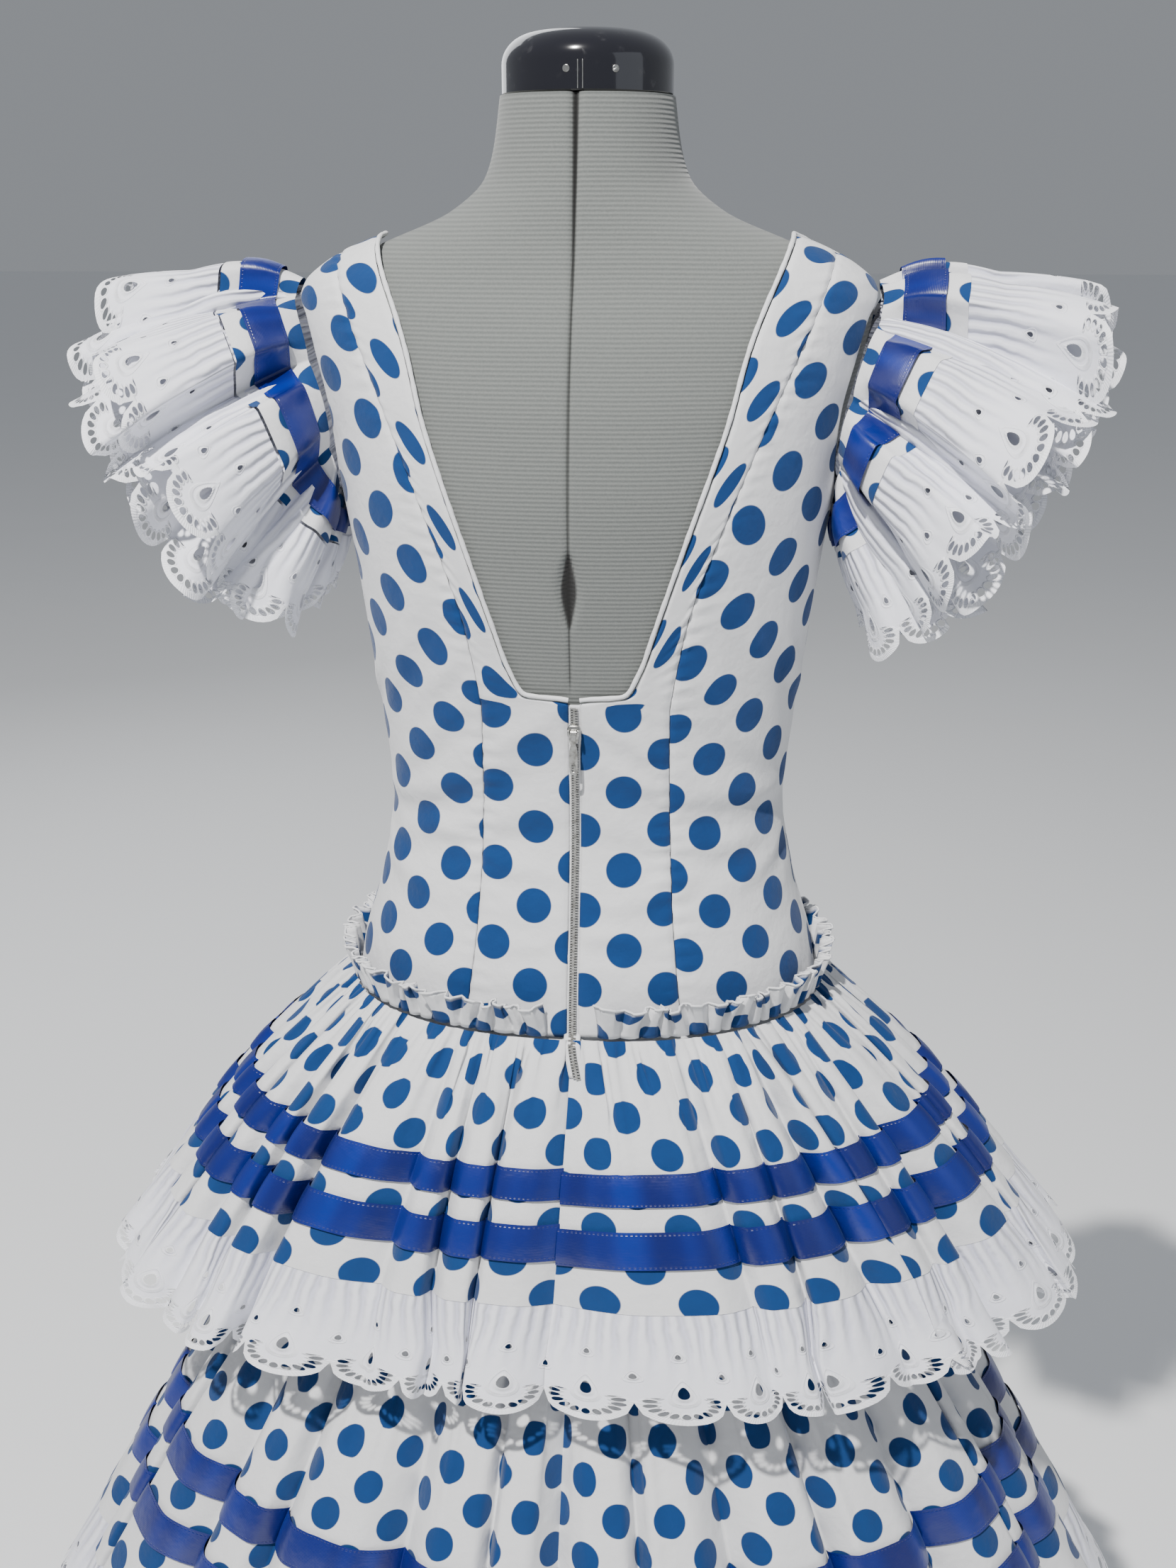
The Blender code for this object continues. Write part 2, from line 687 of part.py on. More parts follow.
def hip_frill():
    """A narrow gathered frill that stands over the hip seam, open at the zip."""
    columns = FRILL_WAVES * TIER_COLUMNS_PER_WAVE + 1
    rows = ((FRILL_LOW, FRILL_ROOT_OUT, FRILL_DEPTH[0]),
            (FRILL_HIGH, FRILL_ROOT_OUT + FRILL_STAND, FRILL_DEPTH[1]))
    outer = []
    inner = []
    for z, out, depth in rows:
        for k in range(columns):
            share = k / (columns - 1)
            angle = math.pi / 2 + between(FRILL_GAP_ANGLE, math.tau - FRILL_GAP_ANGLE, share)
            uneven = 1 + FOLD_VARIATION * math.sin(FRILL_SPEED * k)
            fold = FOLD_SHAPE[k % TIER_COLUMNS_PER_WAVE] * depth * uneven
            inner.append(body_point(angle, z, out + fold))
            outer.append(body_point(angle, z, out + fold + WALL))
    wall("hip_frill", outer, inner, grid_faces(2, columns), "cotton")


def ring_point(level, angle, out):
    """A point of an oval ring at a level of the skirt, moved outwards and a little up."""
    depth = level.back if math.sin(angle) >= 0 else level.front
    across = flattened(math.cos(angle))
    behind = flattened(math.sin(angle))
    place = Vector((level.half_width * across, depth * behind, level.z))
    power = BODY_SQUARENESS - 1
    outward = Vector((
        math.copysign(abs(across) ** power, across) / level.half_width,
        math.copysign(abs(behind) ** power, behind) / depth,
        0.0,
    )).normalized()
    return place + (outward + Vector((0.0, 0.0, CLOTH_TILT))).normalized() * out


def tier_columns(tier):
    """Each column's angle and fold, uneven from wave to wave, from the centre back round."""
    count = tier.waves * TIER_COLUMNS_PER_WAVE
    columns = []
    for k in range(count + 1):
        away = math.sin(math.tau * k / count) ** 2
        shift = COLUMN_SHIFT * math.sin(SHIFT_SPEED * k + tier.seed) * away
        wave = k // TIER_COLUMNS_PER_WAVE % tier.waves
        strength = 1 + FOLD_VARIATION * math.sin(STRENGTH_SPEED * wave + tier.seed)
        angle = math.pi / 2 + math.tau * (k + shift) / count
        columns.append((angle, FOLD_SHAPE[k % TIER_COLUMNS_PER_WAVE] * strength))
    return columns


def tier_wall(name, columns, levels, kind, out=0.0, thickness=WALL):
    """A gathered ring of cloth through the levels, its folds growing with each level's fold."""
    outer = []
    inner = []
    for level in levels:
        for angle, fold in columns:
            inner.append(ring_point(level, angle, out + fold * level.fold))
            outer.append(ring_point(level, angle, out + fold * level.fold + thickness))
    wall(name, outer, inner, grid_faces(len(levels), len(columns), closed=True), kind)


def eyelet_faces(top_left, top_middle, bottom_middle, bottom_left, hole):
    """Triangles of one cell whose right side carries half of an eyelet: top, side, bottom."""
    high, side, low = hole
    return [
        [top_left, top_middle, high],
        [top_left, high, side],
        [top_left, side, bottom_left],
        [bottom_left, side, low],
        [bottom_left, low, bottom_middle],
    ]


def lace_strip(name, tops, bottoms, scallop, normals, eyelets=True):
    """A lace edge from matching top and bottom points, scalloped, with an eyelet in each scallop.

    Even columns are the scallops' notches, and odd ones their middles.
    """
    count = len(tops)
    points = list(tops)
    directions = list(normals)
    for i, (high, low) in enumerate(zip(tops, bottoms)):
        fall = (low - high).normalized()
        points.append(low + fall * (scallop if i % 2 else 0.0))
        directions.append(normals[i])
    faces = [] if eyelets else grid_faces(2, count)
    for i in range(1, count - 1, 2) if eyelets else ():
        high = points[i]
        low = points[count + i]
        run = (low - high).normalized()
        centre = between(high, low, EYELET_PLACE)
        sides = []
        for other in (i - 1, i + 1):
            across = between(points[other], points[count + other], EYELET_PLACE) - centre
            sides.append(centre + across.normalized() * EYELET_HALF_WIDTH)
        first = len(points)
        points += [centre - run * EYELET_HALF_HEIGHT, centre + run * EYELET_HALF_HEIGHT, *sides]
        directions += [normals[i]] * 4
        for other, side, turned_over in ((i - 1, first + 2, False), (i + 1, first + 3, True)):
            made = eyelet_faces(other, i, count + i, count + other, (first, side, first + 1))
            faces += [face[::-1] for face in made] if turned_over else made
    outer = [point + direction * WALL for point, direction in zip(points, directions)]
    wall(name, outer, points, faces, "lace")


def tier_lace(tier, columns):
    """The lace edge of a tier, in a left and a right half that part at the centre back and front."""
    half = len(columns) // 2
    edge = tier.edge._replace(z=tier.edge.z - SEAM_GAP)
    for word, part in (("right", columns[:half + 1]), ("left", columns[half:])):
        part = list(part)
        gap = SEAM_GAP / tier.edge.back
        part[0] = (part[0][0] + gap, part[0][1])
        part[-1] = (part[-1][0] - gap, part[-1][1])
        tops = [ring_point(edge, angle, fold * edge.fold) for angle, fold in part]
        bottoms = [ring_point(tier.lace, angle, fold * tier.lace.fold) for angle, fold in part]
        normals = [
            ring_point(edge, angle, 1.0) - ring_point(edge, angle, 0.0) for angle, _ in part
        ]
        lace_strip(f"{tier.name}_lace_{word}", tops, bottoms, SCALLOP_DEPTH, normals, tier.ribbons)


def skirt_tier(tier):
    """A gathered flounce with its ribbons and lace."""
    columns = tier_columns(tier)
    cuts = {0.0, 1.0}
    for band in tier.ribbons:
        cuts |= {band.high, band.low}
    if not tier.ribbons:
        cuts.add(0.5)
    levels = [mixed(tier.top, tier.edge, share) for share in sorted(cuts)]
    tier_wall(f"{tier.name}_flounce", columns[:-1], levels, "cotton")
    for band in tier.ribbons:
        ends = [mixed(tier.top, tier.edge, share) for share in (band.high, band.low)]
        tier_wall(f"{tier.name}_{band.name}", columns[:-1], ends, "satin",
                  WALL + LIFT, RIBBON_WALL)
    tier_lace(tier, columns)


def base_skirt(base):
    """A plain flared ring of cloth under a tier, with a column behind each fold's root."""
    outer = []
    inner = []
    for level, place in ((base.top, base.upper_tier), (base.bottom, base.lower_tier)):
        for angle, _ in tier_columns(TIERS[place])[:-1:TIER_COLUMNS_PER_WAVE]:
            inner.append(ring_point(level, angle, 0.0))
            outer.append(ring_point(level, angle, BASE_SKIRT_WALL))
    columns = len(inner) // 2
    wall(base.name, outer, inner, grid_faces(2, columns, closed=True), "cotton")


def sleeve_way(turn, spread):
    """The way the sleeve's cloth leaves the armhole: turn 0 at the shoulder, a quarter at the back."""
    up = math.cos(turn) * spread
    out = SLEEVE_OUT[0] + SLEEVE_OUT[1] * up
    back = SLEEVE_BACK * math.sin(turn) * spread
    return Vector((out, back, SLEEVE_RISE[0] + SLEEVE_RISE[1] * up)).normalized()


def sleeve_reach(turn):
    """How long the sleeve is from the armhole, shortest under the arm."""
    up = math.cos(turn)
    return SLEEVE_REACH + SHOULDER_REACH * up - UNDERARM_CUT * max(0.0, -up) ** 3


def arm_root(arm, turn):
    """A point of the armhole ring."""
    angle = math.radians(arm.angle) * math.sin(turn)
    return body_point(angle, arm.z + arm.rise * math.cos(turn), arm.lift)


def sleeve_place(arm, turn, distance, out):
    """A point of a sleeve layer at this distance from the armhole, moved outwards."""
    way = sleeve_way(turn, arm.spread)
    along = arm_root(arm, turn + TURN_STEP) - arm_root(arm, turn - TURN_STEP)
    outward = way.cross(along).normalized()
    return arm_root(arm, turn) + way * distance + outward * out


def sleeve_columns():
    """Each sleeve column's turn and fold, uneven from wave to wave."""
    count = SLEEVE_WAVES * SLEEVE_COLUMNS_PER_WAVE + 1
    columns = []
    for k in range(count):
        wave = k // SLEEVE_COLUMNS_PER_WAVE
        strength = 1 + FOLD_VARIATION * math.sin(SLEEVE_FOLD_SPEED * wave)
        fold = FOLD_SHAPE[k % SLEEVE_COLUMNS_PER_WAVE] * strength
        columns.append((math.tau * k / count, fold))
    return columns


def sleeve_layer(arm, columns, shares, out, side, longer=0.0):
    """Rows of points of a layer, one row for each share of its length."""
    rows = []
    for share in shares:
        depth = between(*SLEEVE_FOLD, share)
        row = []
        for turn, fold in columns:
            distance = (sleeve_reach(turn) + longer) * share
            point = sleeve_place(arm, turn, distance, fold * depth + out)
            point.x *= side
            row.append(point)
        rows.append(row)
    return rows


def sleeve_ring(name, arm, columns, shares, out, thickness, kind, side):
    """A closed ring of cloth between shares of a sleeve's length."""
    inner = sum(sleeve_layer(arm, columns, shares, out, side), [])
    outer = sum(sleeve_layer(arm, columns, shares, out + thickness, side), [])
    wall(name, outer, inner, grid_faces(len(shares), len(columns), closed=True), kind)


def sleeve_lace(name, arm, columns, start, side, longer=0.0):
    """A lace layer in a back and a front half, from this share of the length to the end."""
    half = len(columns) // 2
    loop = columns + [(columns[0][0] + math.tau, columns[0][1])]
    for word, part in (("back", loop[:half + 1]), ("front", loop[half:])):
        part = list(part)
        part[0] = (part[0][0] + SLEEVE_SEAM_TURN, part[0][1])
        part[-1] = (part[-1][0] - SLEEVE_SEAM_TURN, part[-1][1])
        tops, bottoms = sleeve_layer(arm, part, (start, 1.0), 0.0, side, longer)
        lifted = sleeve_layer(arm, part, (start,), 1.0, side, longer)[0]
        normals = [above - below for above, below in zip(lifted, tops)]
        lace_strip(f"{name}_{word}", tops, bottoms, SLEEVE_SCALLOP, normals)


def sleeve(side, word):
    """A dotted flounce with ribbon and lace over a lace under-ruffle."""
    columns = sleeve_columns()
    name = f"sleeve_{word}"
    shares = (0.0, *RIBBON_SPAN, FLOUNCE_END)
    sleeve_ring(f"{name}_flounce", OUTER_ARM, columns, shares, 0.0, WALL, "cotton", side)
    sleeve_ring(f"{name}_ribbon", OUTER_ARM, columns, RIBBON_SPAN, WALL + LIFT, RIBBON_WALL,
                "satin", side)
    seam = FLOUNCE_END + SEAM_GAP / SLEEVE_REACH
    sleeve_lace(f"{name}_lace", OUTER_ARM, columns, seam, side)
    sleeve_lace(f"{name}_under_lace", UNDER_ARM, columns, 0.0, side, UNDER_REACH)


def main():
    """Builds every piece of the dress and of the form that it stands on."""
    clear_scene()
    dress_form()
    for side, word in ((1, "left"), (-1, "right")):
        back_panels(side, word)
        sleeve(side, word)
    front_panel()
    neck_piping()
    zip_fastener()
    hip_frill()
    for tier in TIERS:
        skirt_tier(tier)
    for base in BASES:
        base_skirt(base)


main()
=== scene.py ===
"""The looks of a flamenco dress on a limbless dress form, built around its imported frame.

Metres, +Z up. The wearer faces -Y, so the open back and its zip are on +Y, and +X is the
wearer's left. Every piece of cloth is worked out as a grid of points on its solid's form, and
each point keeps its place on the flat cloth, which is what dots, weave and lace are drawn from.
"""

import logging
import math
from dataclasses import dataclass
from enum import Enum
from typing import NamedTuple, Optional, Sequence, Union

import bmesh
import bpy
import numpy as np
from mathutils import Matrix, Vector


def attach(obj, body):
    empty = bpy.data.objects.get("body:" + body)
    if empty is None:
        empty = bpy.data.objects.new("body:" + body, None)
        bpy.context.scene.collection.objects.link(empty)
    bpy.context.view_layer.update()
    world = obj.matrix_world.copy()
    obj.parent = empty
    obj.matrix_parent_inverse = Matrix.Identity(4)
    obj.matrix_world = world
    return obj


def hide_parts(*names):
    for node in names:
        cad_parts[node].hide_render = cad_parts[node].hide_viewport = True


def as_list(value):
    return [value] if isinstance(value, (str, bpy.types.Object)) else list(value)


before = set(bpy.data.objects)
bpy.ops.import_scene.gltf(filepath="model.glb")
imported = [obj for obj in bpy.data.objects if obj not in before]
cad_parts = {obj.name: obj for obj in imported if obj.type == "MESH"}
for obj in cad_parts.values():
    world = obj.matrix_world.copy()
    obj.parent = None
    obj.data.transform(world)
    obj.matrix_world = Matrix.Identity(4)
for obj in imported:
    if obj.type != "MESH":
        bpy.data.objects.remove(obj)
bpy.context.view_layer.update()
LOG = logging.getLogger("flamenco_dress")
CLOTH = "cloth"
TAU = math.tau
BACK = math.pi / 2


class Slot(Enum):
    """The record's material slots."""

    JERSEY = "jersey"
    GLOSS = "black_gloss"
    STEEL = "steel"
    DOTTED = "dotted_cotton"
    WHITE = "white_cotton"
    SATIN = "blue_satin"
    LACE = "eyelet_lace"


class Side(Enum):
    """The wearer's two sides, as the sign of their X."""

    LEFT = 1
    RIGHT = -1

    @property
    def word(self) -> str:
        """The side's name in the frame's nodes."""
        return self.name.lower()


Value = Union["Wire", float, Sequence[float]]


class Wire:
    """An output of a material's node, on which arithmetic adds the nodes that work it out."""

    def __init__(self, bench: "Bench", socket: bpy.types.NodeSocket) -> None:
        """Keeps the socket and the tree that it belongs to."""
        self.bench = bench
        self.socket = socket

    @property
    def wide(self) -> bool:
        """Whether it carries a colour or a vector."""
        return self.socket.type in {"VECTOR", "RGBA"}

    def apply(self, operation: str, *values: Value) -> "Wire":
        """Adds a Math node, or a Vector Math node where a value is wide.

        Args:
            operation: the node's operation.
            values: its inputs in order, links or numbers.

        Returns:
            The node's result.
        """
        wide = any(isinstance(value, Wire) and value.wide for value in values)
        if wide:
            values = tuple((v, v, v) if isinstance(v, (int, float)) else v for v in values)
        kind = "ShaderNodeVectorMath" if wide else "ShaderNodeMath"
        return self.bench.node(kind, {"operation": operation}, dict(enumerate(values)))

    def __add__(self, other: Value) -> "Wire":
        """Sum."""
        return self.apply("ADD", self, other)

    def __sub__(self, other: Value) -> "Wire":
        """Difference."""
        return self.apply("SUBTRACT", self, other)

    def __rsub__(self, other: Value) -> "Wire":
        """Difference from a number."""
        return self.apply("SUBTRACT", other, self)

    def __mul__(self, other: Value) -> "Wire":
        """Product."""
        return self.apply("MULTIPLY", self, other)

    def __truediv__(self, other: Value) -> "Wire":
        """Quotient."""
        return self.apply("DIVIDE", self, other)

    def __pow__(self, other: float) -> "Wire":
        """Power."""
        return self.apply("POWER", self, other)

    __radd__ = __add__
    __rmul__ = __mul__

    def one(self, operation: str) -> "Wire":
        """A Math node of one input, such as SINE, FRACT, ABSOLUTE or SQRT."""
        return self.apply(operation, self)

    def off_centre(self) -> "Wire":
        """How far the value is from the nearest whole number."""
        return (self + 0.5).one("FRACT") - 0.5

    def step(self, low: float, high: float) -> "Wire":
        """A smooth step from 0 at low to 1 at high, or the other way round where low is larger."""
        ends = (low, high, 0.0, 1.0) if low < high else (high, low, 1.0, 0.0)
        inputs = {0: self, **{i + 1: end for i, end in enumerate(ends)}}
        return self.bench.node("ShaderNodeMapRange", {"interpolation_type": "SMOOTHSTEP"}, inputs)

    def __or__(self, other: Value) -> "Wire":
        """The larger of the two."""
        return self.apply("MAXIMUM", self, other)


class Bench:
    """The node tree of one material, with its Principled shader."""

    def __init__(self, name: str, **sockets: Union[float, Sequence[float]]) -> None:
        """Makes the material.

        Args:
            name: the material's name.
            sockets: constants of the shader, with underscores for the spaces in their names.
        """
        self.material = bpy.data.materials.new(name)
        self.material.use_nodes = True
        self.tree = self.material.node_tree
        self.shader = self.tree.nodes["Principled BSDF"]
        for key, value in sockets.items():
            self.shader.inputs[key.replace("_", " ")].default_value = value

    def node(self, kind: str, settings: dict, inputs: dict, output: Union[int, str] = 0) -> Wire:
        """Adds any node.

        Args:
            kind: the node's type.
            settings: its properties, set first.
            inputs: values or links by the socket's index or name.
            output: the socket to return.

        Returns:
            That output.
        """
        made = self.tree.nodes.new(kind)
        for key, value in settings.items():
            setattr(made, key, value)
        for key, value in inputs.items():
            if isinstance(value, Wire):
                self.tree.links.new(value.socket, made.inputs[key])
            else:
                made.inputs[key].default_value = value
        return Wire(self, made.outputs[output])

    def flat_place(self) -> tuple[Wire, Wire, Wire]:
        """The point's place on its flat cloth: along, down, and the piece's own third value."""
        held = self.node("ShaderNodeAttribute", {"attribute_name": CLOTH}, {}, "Vector")
        return tuple(self.node("ShaderNodeSeparateXYZ", {}, {0: held}, i) for i in range(3))

    def place(self) -> Wire:
        """The point's place on the object."""
        return self.node("ShaderNodeTexCoord", {}, {}, "Object")

    def noise(self, scale: float, detail: float = 3.0, vector: Optional[Wire] = None) -> Wire:
        """Noise from 0 to 1 with this many cells a metre."""
        inputs = {"Vector": vector or self.place(), "Scale": scale, "Detail": detail}
        return self.node("ShaderNodeTexNoise", {}, inputs)

    def mix(self, share: Value, first: Value, second: Value) -> Wire:
        """A colour between two."""
        first, second = ((*c, 1.0) if isinstance(c, tuple) and len(c) == 3 else c
                         for c in (first, second))
        inputs = {0: share, 6: first, 7: second}
        return self.node("ShaderNodeMix", {"data_type": "RGBA"}, inputs, 2)

    def feed(self, **sockets: Wire) -> None:
        """Links what varies to the shader's sockets."""
        for key, value in sockets.items():
            self.tree.links.new(value.socket, self.shader.inputs[key.replace("_", " ")])

    def raise_by(self, height: Wire, distance: float, strength: float = 1.0) -> None:
        """Bumps the surface by a height from 0 to 1 over this distance in metres."""
        inputs = {"Height": height, "Distance": distance, "Strength": strength}
        self.feed(Normal=self.node("ShaderNodeBump", {}, inputs))


@dataclass(frozen=True)
class Cotton:
    """Plain-weave cotton, white or with a staggered lattice of round dots."""

    name: str
    dotted: bool = True
    white: tuple = (0.74, 0.745, 0.76)
    blue: tuple = (0.0018, 0.034, 0.135)
    half_pitch: float = 0.0255
    dot_radius: float = 0.0112
    dot_edge: float = 0.0004
    thread: float = 0.0007
    patch_scale: float = 14.0
    ink_scale: float = 60.0
    crumple_scales: tuple = (38.0, 150.0)
    crumple_height: float = 0.0042

    def make(self) -> bpy.types.Material:
        """The material, with weave, soft crumples and dots."""
        bench = Bench(self.name, Roughness=0.85, Sheen_Weight=0.12, Sheen_Roughness=0.5,
                      Specular_IOR_Level=0.25)
        along, down, plain = bench.flat_place()
        warp = (along * (TAU / self.thread)).one("SINE")
        weft = (down * (TAU / self.thread)).one("SINE")
        weave = warp * weft
        patchy = bench.noise(self.patch_scale, 2.0)
        colour = bench.mix(patchy * 0.10, self.white, tuple(0.88 * c for c in self.white))
        if self.dotted:
            across = along / self.half_pitch
            fall = down / self.half_pitch
            first = ((across + fall) * 0.5).off_centre()
            second = ((across - fall) * 0.5).off_centre()
            far = ((first * first + second * second) * 2.0).one("SQRT") * self.half_pitch
            edge = (self.dot_radius + self.dot_edge, self.dot_radius - self.dot_edge)
            dot = far.step(*edge) * (1.0 - plain)
            ink = bench.mix(bench.noise(self.ink_scale, 4.0), self.blue,
                            tuple(1.35 * c for c in self.blue))
            colour = bench.mix(dot, colour, ink)
        shade = weave * 0.02 + 0.98
        bench.feed(Base_Color=bench.mix(1.0 - shade, colour, (0.0, 0.0, 0.0)))
        coarse, fine = self.crumple_scales
        crumple = bench.noise(coarse, 5.0) * 0.8 + bench.noise(fine, 3.0) * 0.2
        bench.raise_by(crumple + weave * 0.012, self.crumple_height, 0.55)
        return bench.material


@dataclass(frozen=True)
class Satin:
    """Satin ribbon with a woven edge and a line of stitches inside each edge."""

    name: str = "satin_ribbon"
    blue: tuple = (0.0002, 0.0050, 0.105)
    # Painted highlight: the lighter blue of the satin's glints.
    painted_glint: tuple = (0.001, 0.018, 0.23)
    thread: float = 0.0009
    stitch: float = 0.0028
    stitch_line: float = 0.07
    rough: float = 0.30
    crumple_scale: float = 55.0
    crumple_height: float = 0.0028

    def make(self) -> bpy.types.Material:
        """The material: the third flat value runs from 0 to 1 across the ribbon."""
        bench = Bench(self.name, Specular_IOR_Level=0.75, Anisotropic=0.5,
                      Sheen_Weight=0.05, Sheen_Roughness=0.35, Sheen_Tint=(0.2, 0.4, 1.0, 1.0))
        along, down, share = bench.flat_place()
        threads = (down * (TAU / self.thread)).one("SINE")
        edge = (share - 0.5).one("ABSOLUTE") * 2.0
        line = (edge - (1.0 - 2 * self.stitch_line)).one("ABSOLUTE").step(0.05, 0.015)
        dashes = line * (along * (TAU / self.stitch)).one("SINE").step(-0.2, 0.3)
        # Painted highlight: noise streaks drawn out along the ribbon mix the blue towards the
        # lighter glint blue, a painted sheen of light on the satin.
        painted_glint_streaks = bench.noise(9.0, 1.0, bench.node(
            "ShaderNodeCombineXYZ", {}, {0: along * 4.0, 1: down * 0.2, 2: 0.0}))
        colour = bench.mix(painted_glint_streaks.step(0.35, 0.75), self.blue, self.painted_glint)
        bench.feed(Base_Color=bench.mix(dashes * 0.5, colour, self.blue))
        bench.feed(Roughness=self.rough + bench.noise(40.0, 2.0) * 0.12)
        soft = bench.noise(self.crumple_scale, 3.0)
        bench.raise_by(soft * 0.7 + threads * 0.01 - dashes * 0.12, self.crumple_height, 0.5)
        return bench.material


@dataclass(frozen=True)
class Lace:
    """Embroidered cotton lawn: a stitched scallop edge, a row of small holes and large eyelets.

    The flat place counts down from the notches between scallops, so it is below zero above them.
    """

    name: str = "eyelet_lace"
    white: tuple = (0.84, 0.85, 0.91)
    thread_white: tuple = (0.90, 0.91, 0.95)
    scallop: float = 0.040
    depth: float = 0.015
    hole_inset: float = 0.0056
    hole_half: tuple = (0.0016, 0.00195)
    holes: int = 9
    border: float = 0.0026
    drops: tuple = ((0.0, -0.0075, 0.0026, 0.0044), (0.5, -0.0190, 0.0015, 0.00195),
                    (0.0, -0.0330, 0.0014, 0.0018))
    rim: float = 1.62
    petals: tuple = (1.95, 2.45)
    gather: float = 0.0078
    # Painted shade: the colour that the valleys of the gathers are darkened to, also mixed in
    # faintly as a random mottle.
    shade: tuple = (0.55, 0.56, 0.70)
    border_start: float = -0.0012
    row_start: float = -0.0045
    blur: float = 0.0006
    drop_taper: float = 0.28
    stitches: float = 90.0
    gathered: tuple = (-0.004, -0.055)
    relief: float = 0.0044

    def ring(self, across: Wire, down: Wire, inset: float) -> Wire:
        """How far a point is from an ellipse inside the scallop, as 1 on it."""
        width = self.scallop / 2 - inset
        high = self.depth - inset
        return ((across / width) ** 2.0 + (down / high) ** 2.0).one("SQRT")

    def make(self) -> bpy.types.Material:
        """The material, with its holes in Alpha and its stitches raised."""
        bench = Bench(self.name, Roughness=0.8, Sheen_Weight=0.15, Specular_IOR_Level=0.3)
        along, down, _ = bench.flat_place()
        across = (along / self.scallop - 0.5).off_centre() * self.scallop
        below = (down - self.border_start).step(-self.blur, self.blur)
        inset = self.hole_inset
        row = self.ring(across, down, inset)
        width = self.scallop / 2 - inset
        high = self.depth - inset
        turn = (down / high).apply("ARCTAN2", down / high, across / width)
        step = (turn * (self.holes / math.pi) - 0.5).off_centre()
        mean = (width + high) / 2
        radial = (row - 1.0) * (high / self.hole_half[1])
        sideways = step * (math.pi * mean / self.holes / self.hole_half[0])
        small = (radial * radial + sideways * sideways).one("SQRT")
        in_row = (down - self.row_start).step(-self.blur, self.blur)
        small = small + (1.0 - in_row) * 9.0
        holes = small.step(1.08, 0.92)
        rims = small.step(self.rim, 1.15)
        inner, outer = self.petals
        for place, height, half_wide, half_high in self.drops:
            aside = (along / self.scallop - 0.5 - place).off_centre() * self.scallop
            fall = (down - height) / half_high
            taper = fall * self.drop_taper + 1.0
            shape = ((aside / taper / half_wide) ** 2.0 + fall ** 2.0).one("SQRT")
            holes = holes | shape.step(1.06, 0.94)
            petal = shape.step(inner - 0.15, inner) * shape.step(outer, outer - 0.2)
            rims = rims | shape.step(self.rim, 1.1) | petal * 0.45
        edge = self.ring(across, down, 0.0)
        border = self.border / self.depth
        band = edge.step(1.0 - 1.6 * border, 1.0 - 0.9 * border) * below
        stitches = (turn * self.stitches).one("SINE") * 0.5 + 0.5
        raised = (rims | band) * (0.75 + stitches * 0.25)
        patchy = bench.noise(30.0, 3.0)
        high_up = down.step(*self.gathered)
        gathers = (along * (TAU / self.gather) + patchy * 7.0 + down * 25.0).one("SINE") * 0.5 + 0.5
        gathers = 1.0 - (1.0 - gathers) ** 1.6 * high_up
        # Painted shade: the ground darkens towards the shade colour in the valleys of the gathers,
        # towards the top of the lace, with a faint random mottle.
        ground = bench.mix((1.0 - gathers) * 0.6 + patchy * 0.15, self.white, self.shade)
        bench.feed(Base_Color=bench.mix(raised, ground, self.thread_white))
        bench.feed(Alpha=1.0 - holes)
        crumple = bench.noise(60.0, 4.0)
        bench.raise_by(raised * 0.20 + crumple * 0.30 + gathers * 0.50, self.relief, 0.8)
        return bench.material


@dataclass(frozen=True)
class Jersey:
    """Grey-green stretch jersey with fine horizontal ribs and a dark slit at the centre back."""

    name: str = "ribbed_jersey"
    light: tuple = (0.205, 0.215, 0.205)
    dark: tuple = (0.105, 0.115, 0.112)
    rib: float = 0.0026

    def make(self) -> bpy.types.Material:
        """The material: the third flat value darkens the slit."""
        bench = Bench(self.name, Roughness=0.92, Sheen_Weight=0.25, Sheen_Roughness=0.6,
                      Specular_IOR_Level=0.2)
        _, down, slit = bench.flat_place()
        wander = bench.noise(9.0, 2.0) * 0.0016
        ribs = ((down + wander) * (TAU / self.rib)).one("SINE") * 0.5 + 0.5
        speckle = bench.noise(900.0, 2.0)
        share = ribs * 0.45 + speckle * 0.55
        colour = bench.mix(share, self.dark, self.light)
        bench.feed(Base_Color=bench.mix(slit, colour, (0.002, 0.002, 0.002)))
        bench.raise_by(ribs * 0.6 + speckle * 0.4, 0.0006, 0.6)
        return bench.material


@dataclass(frozen=True)
class Gloss:
    """Black glossy plastic with faint dust and fine scratches."""

    name: str = "black_plastic"
    black: tuple = (0.006, 0.006, 0.010)
    dust: tuple = (0.05, 0.05, 0.055)

    def make(self) -> bpy.types.Material:
        """The material."""
        bench = Bench(self.name, Specular_IOR_Level=0.6, Coat_Weight=1.0, Coat_Roughness=0.05)
        dust = bench.noise(120.0, 6.0).step(0.58, 0.75)
        bench.feed(Base_Color=bench.mix(dust * 0.25, self.black, self.dust))
        bench.feed(Roughness=0.12 + dust * 0.3)
        bench.raise_by(bench.noise(35.0, 2.0), 0.0008, 0.25)
        return bench.material


@dataclass(frozen=True)
class Metal:
    """Polished steel with fine wear."""

    name: str = "bright_steel"
    bright: tuple = (0.52, 0.52, 0.50)
    worn: tuple = (0.24, 0.23, 0.21)

    def make(self) -> bpy.types.Material:
        """The material."""
        bench = Bench(self.name, Metallic=1.0)
        wear = bench.noise(400.0, 4.0)
        bench.feed(Base_Color=bench.mix(wear.step(0.4, 0.8), self.bright, self.worn))
        bench.feed(Roughness=0.18 + wear * 0.25)
        bench.raise_by(bench.noise(700.0, 2.0), 0.0002, 0.3)
        return bench.material


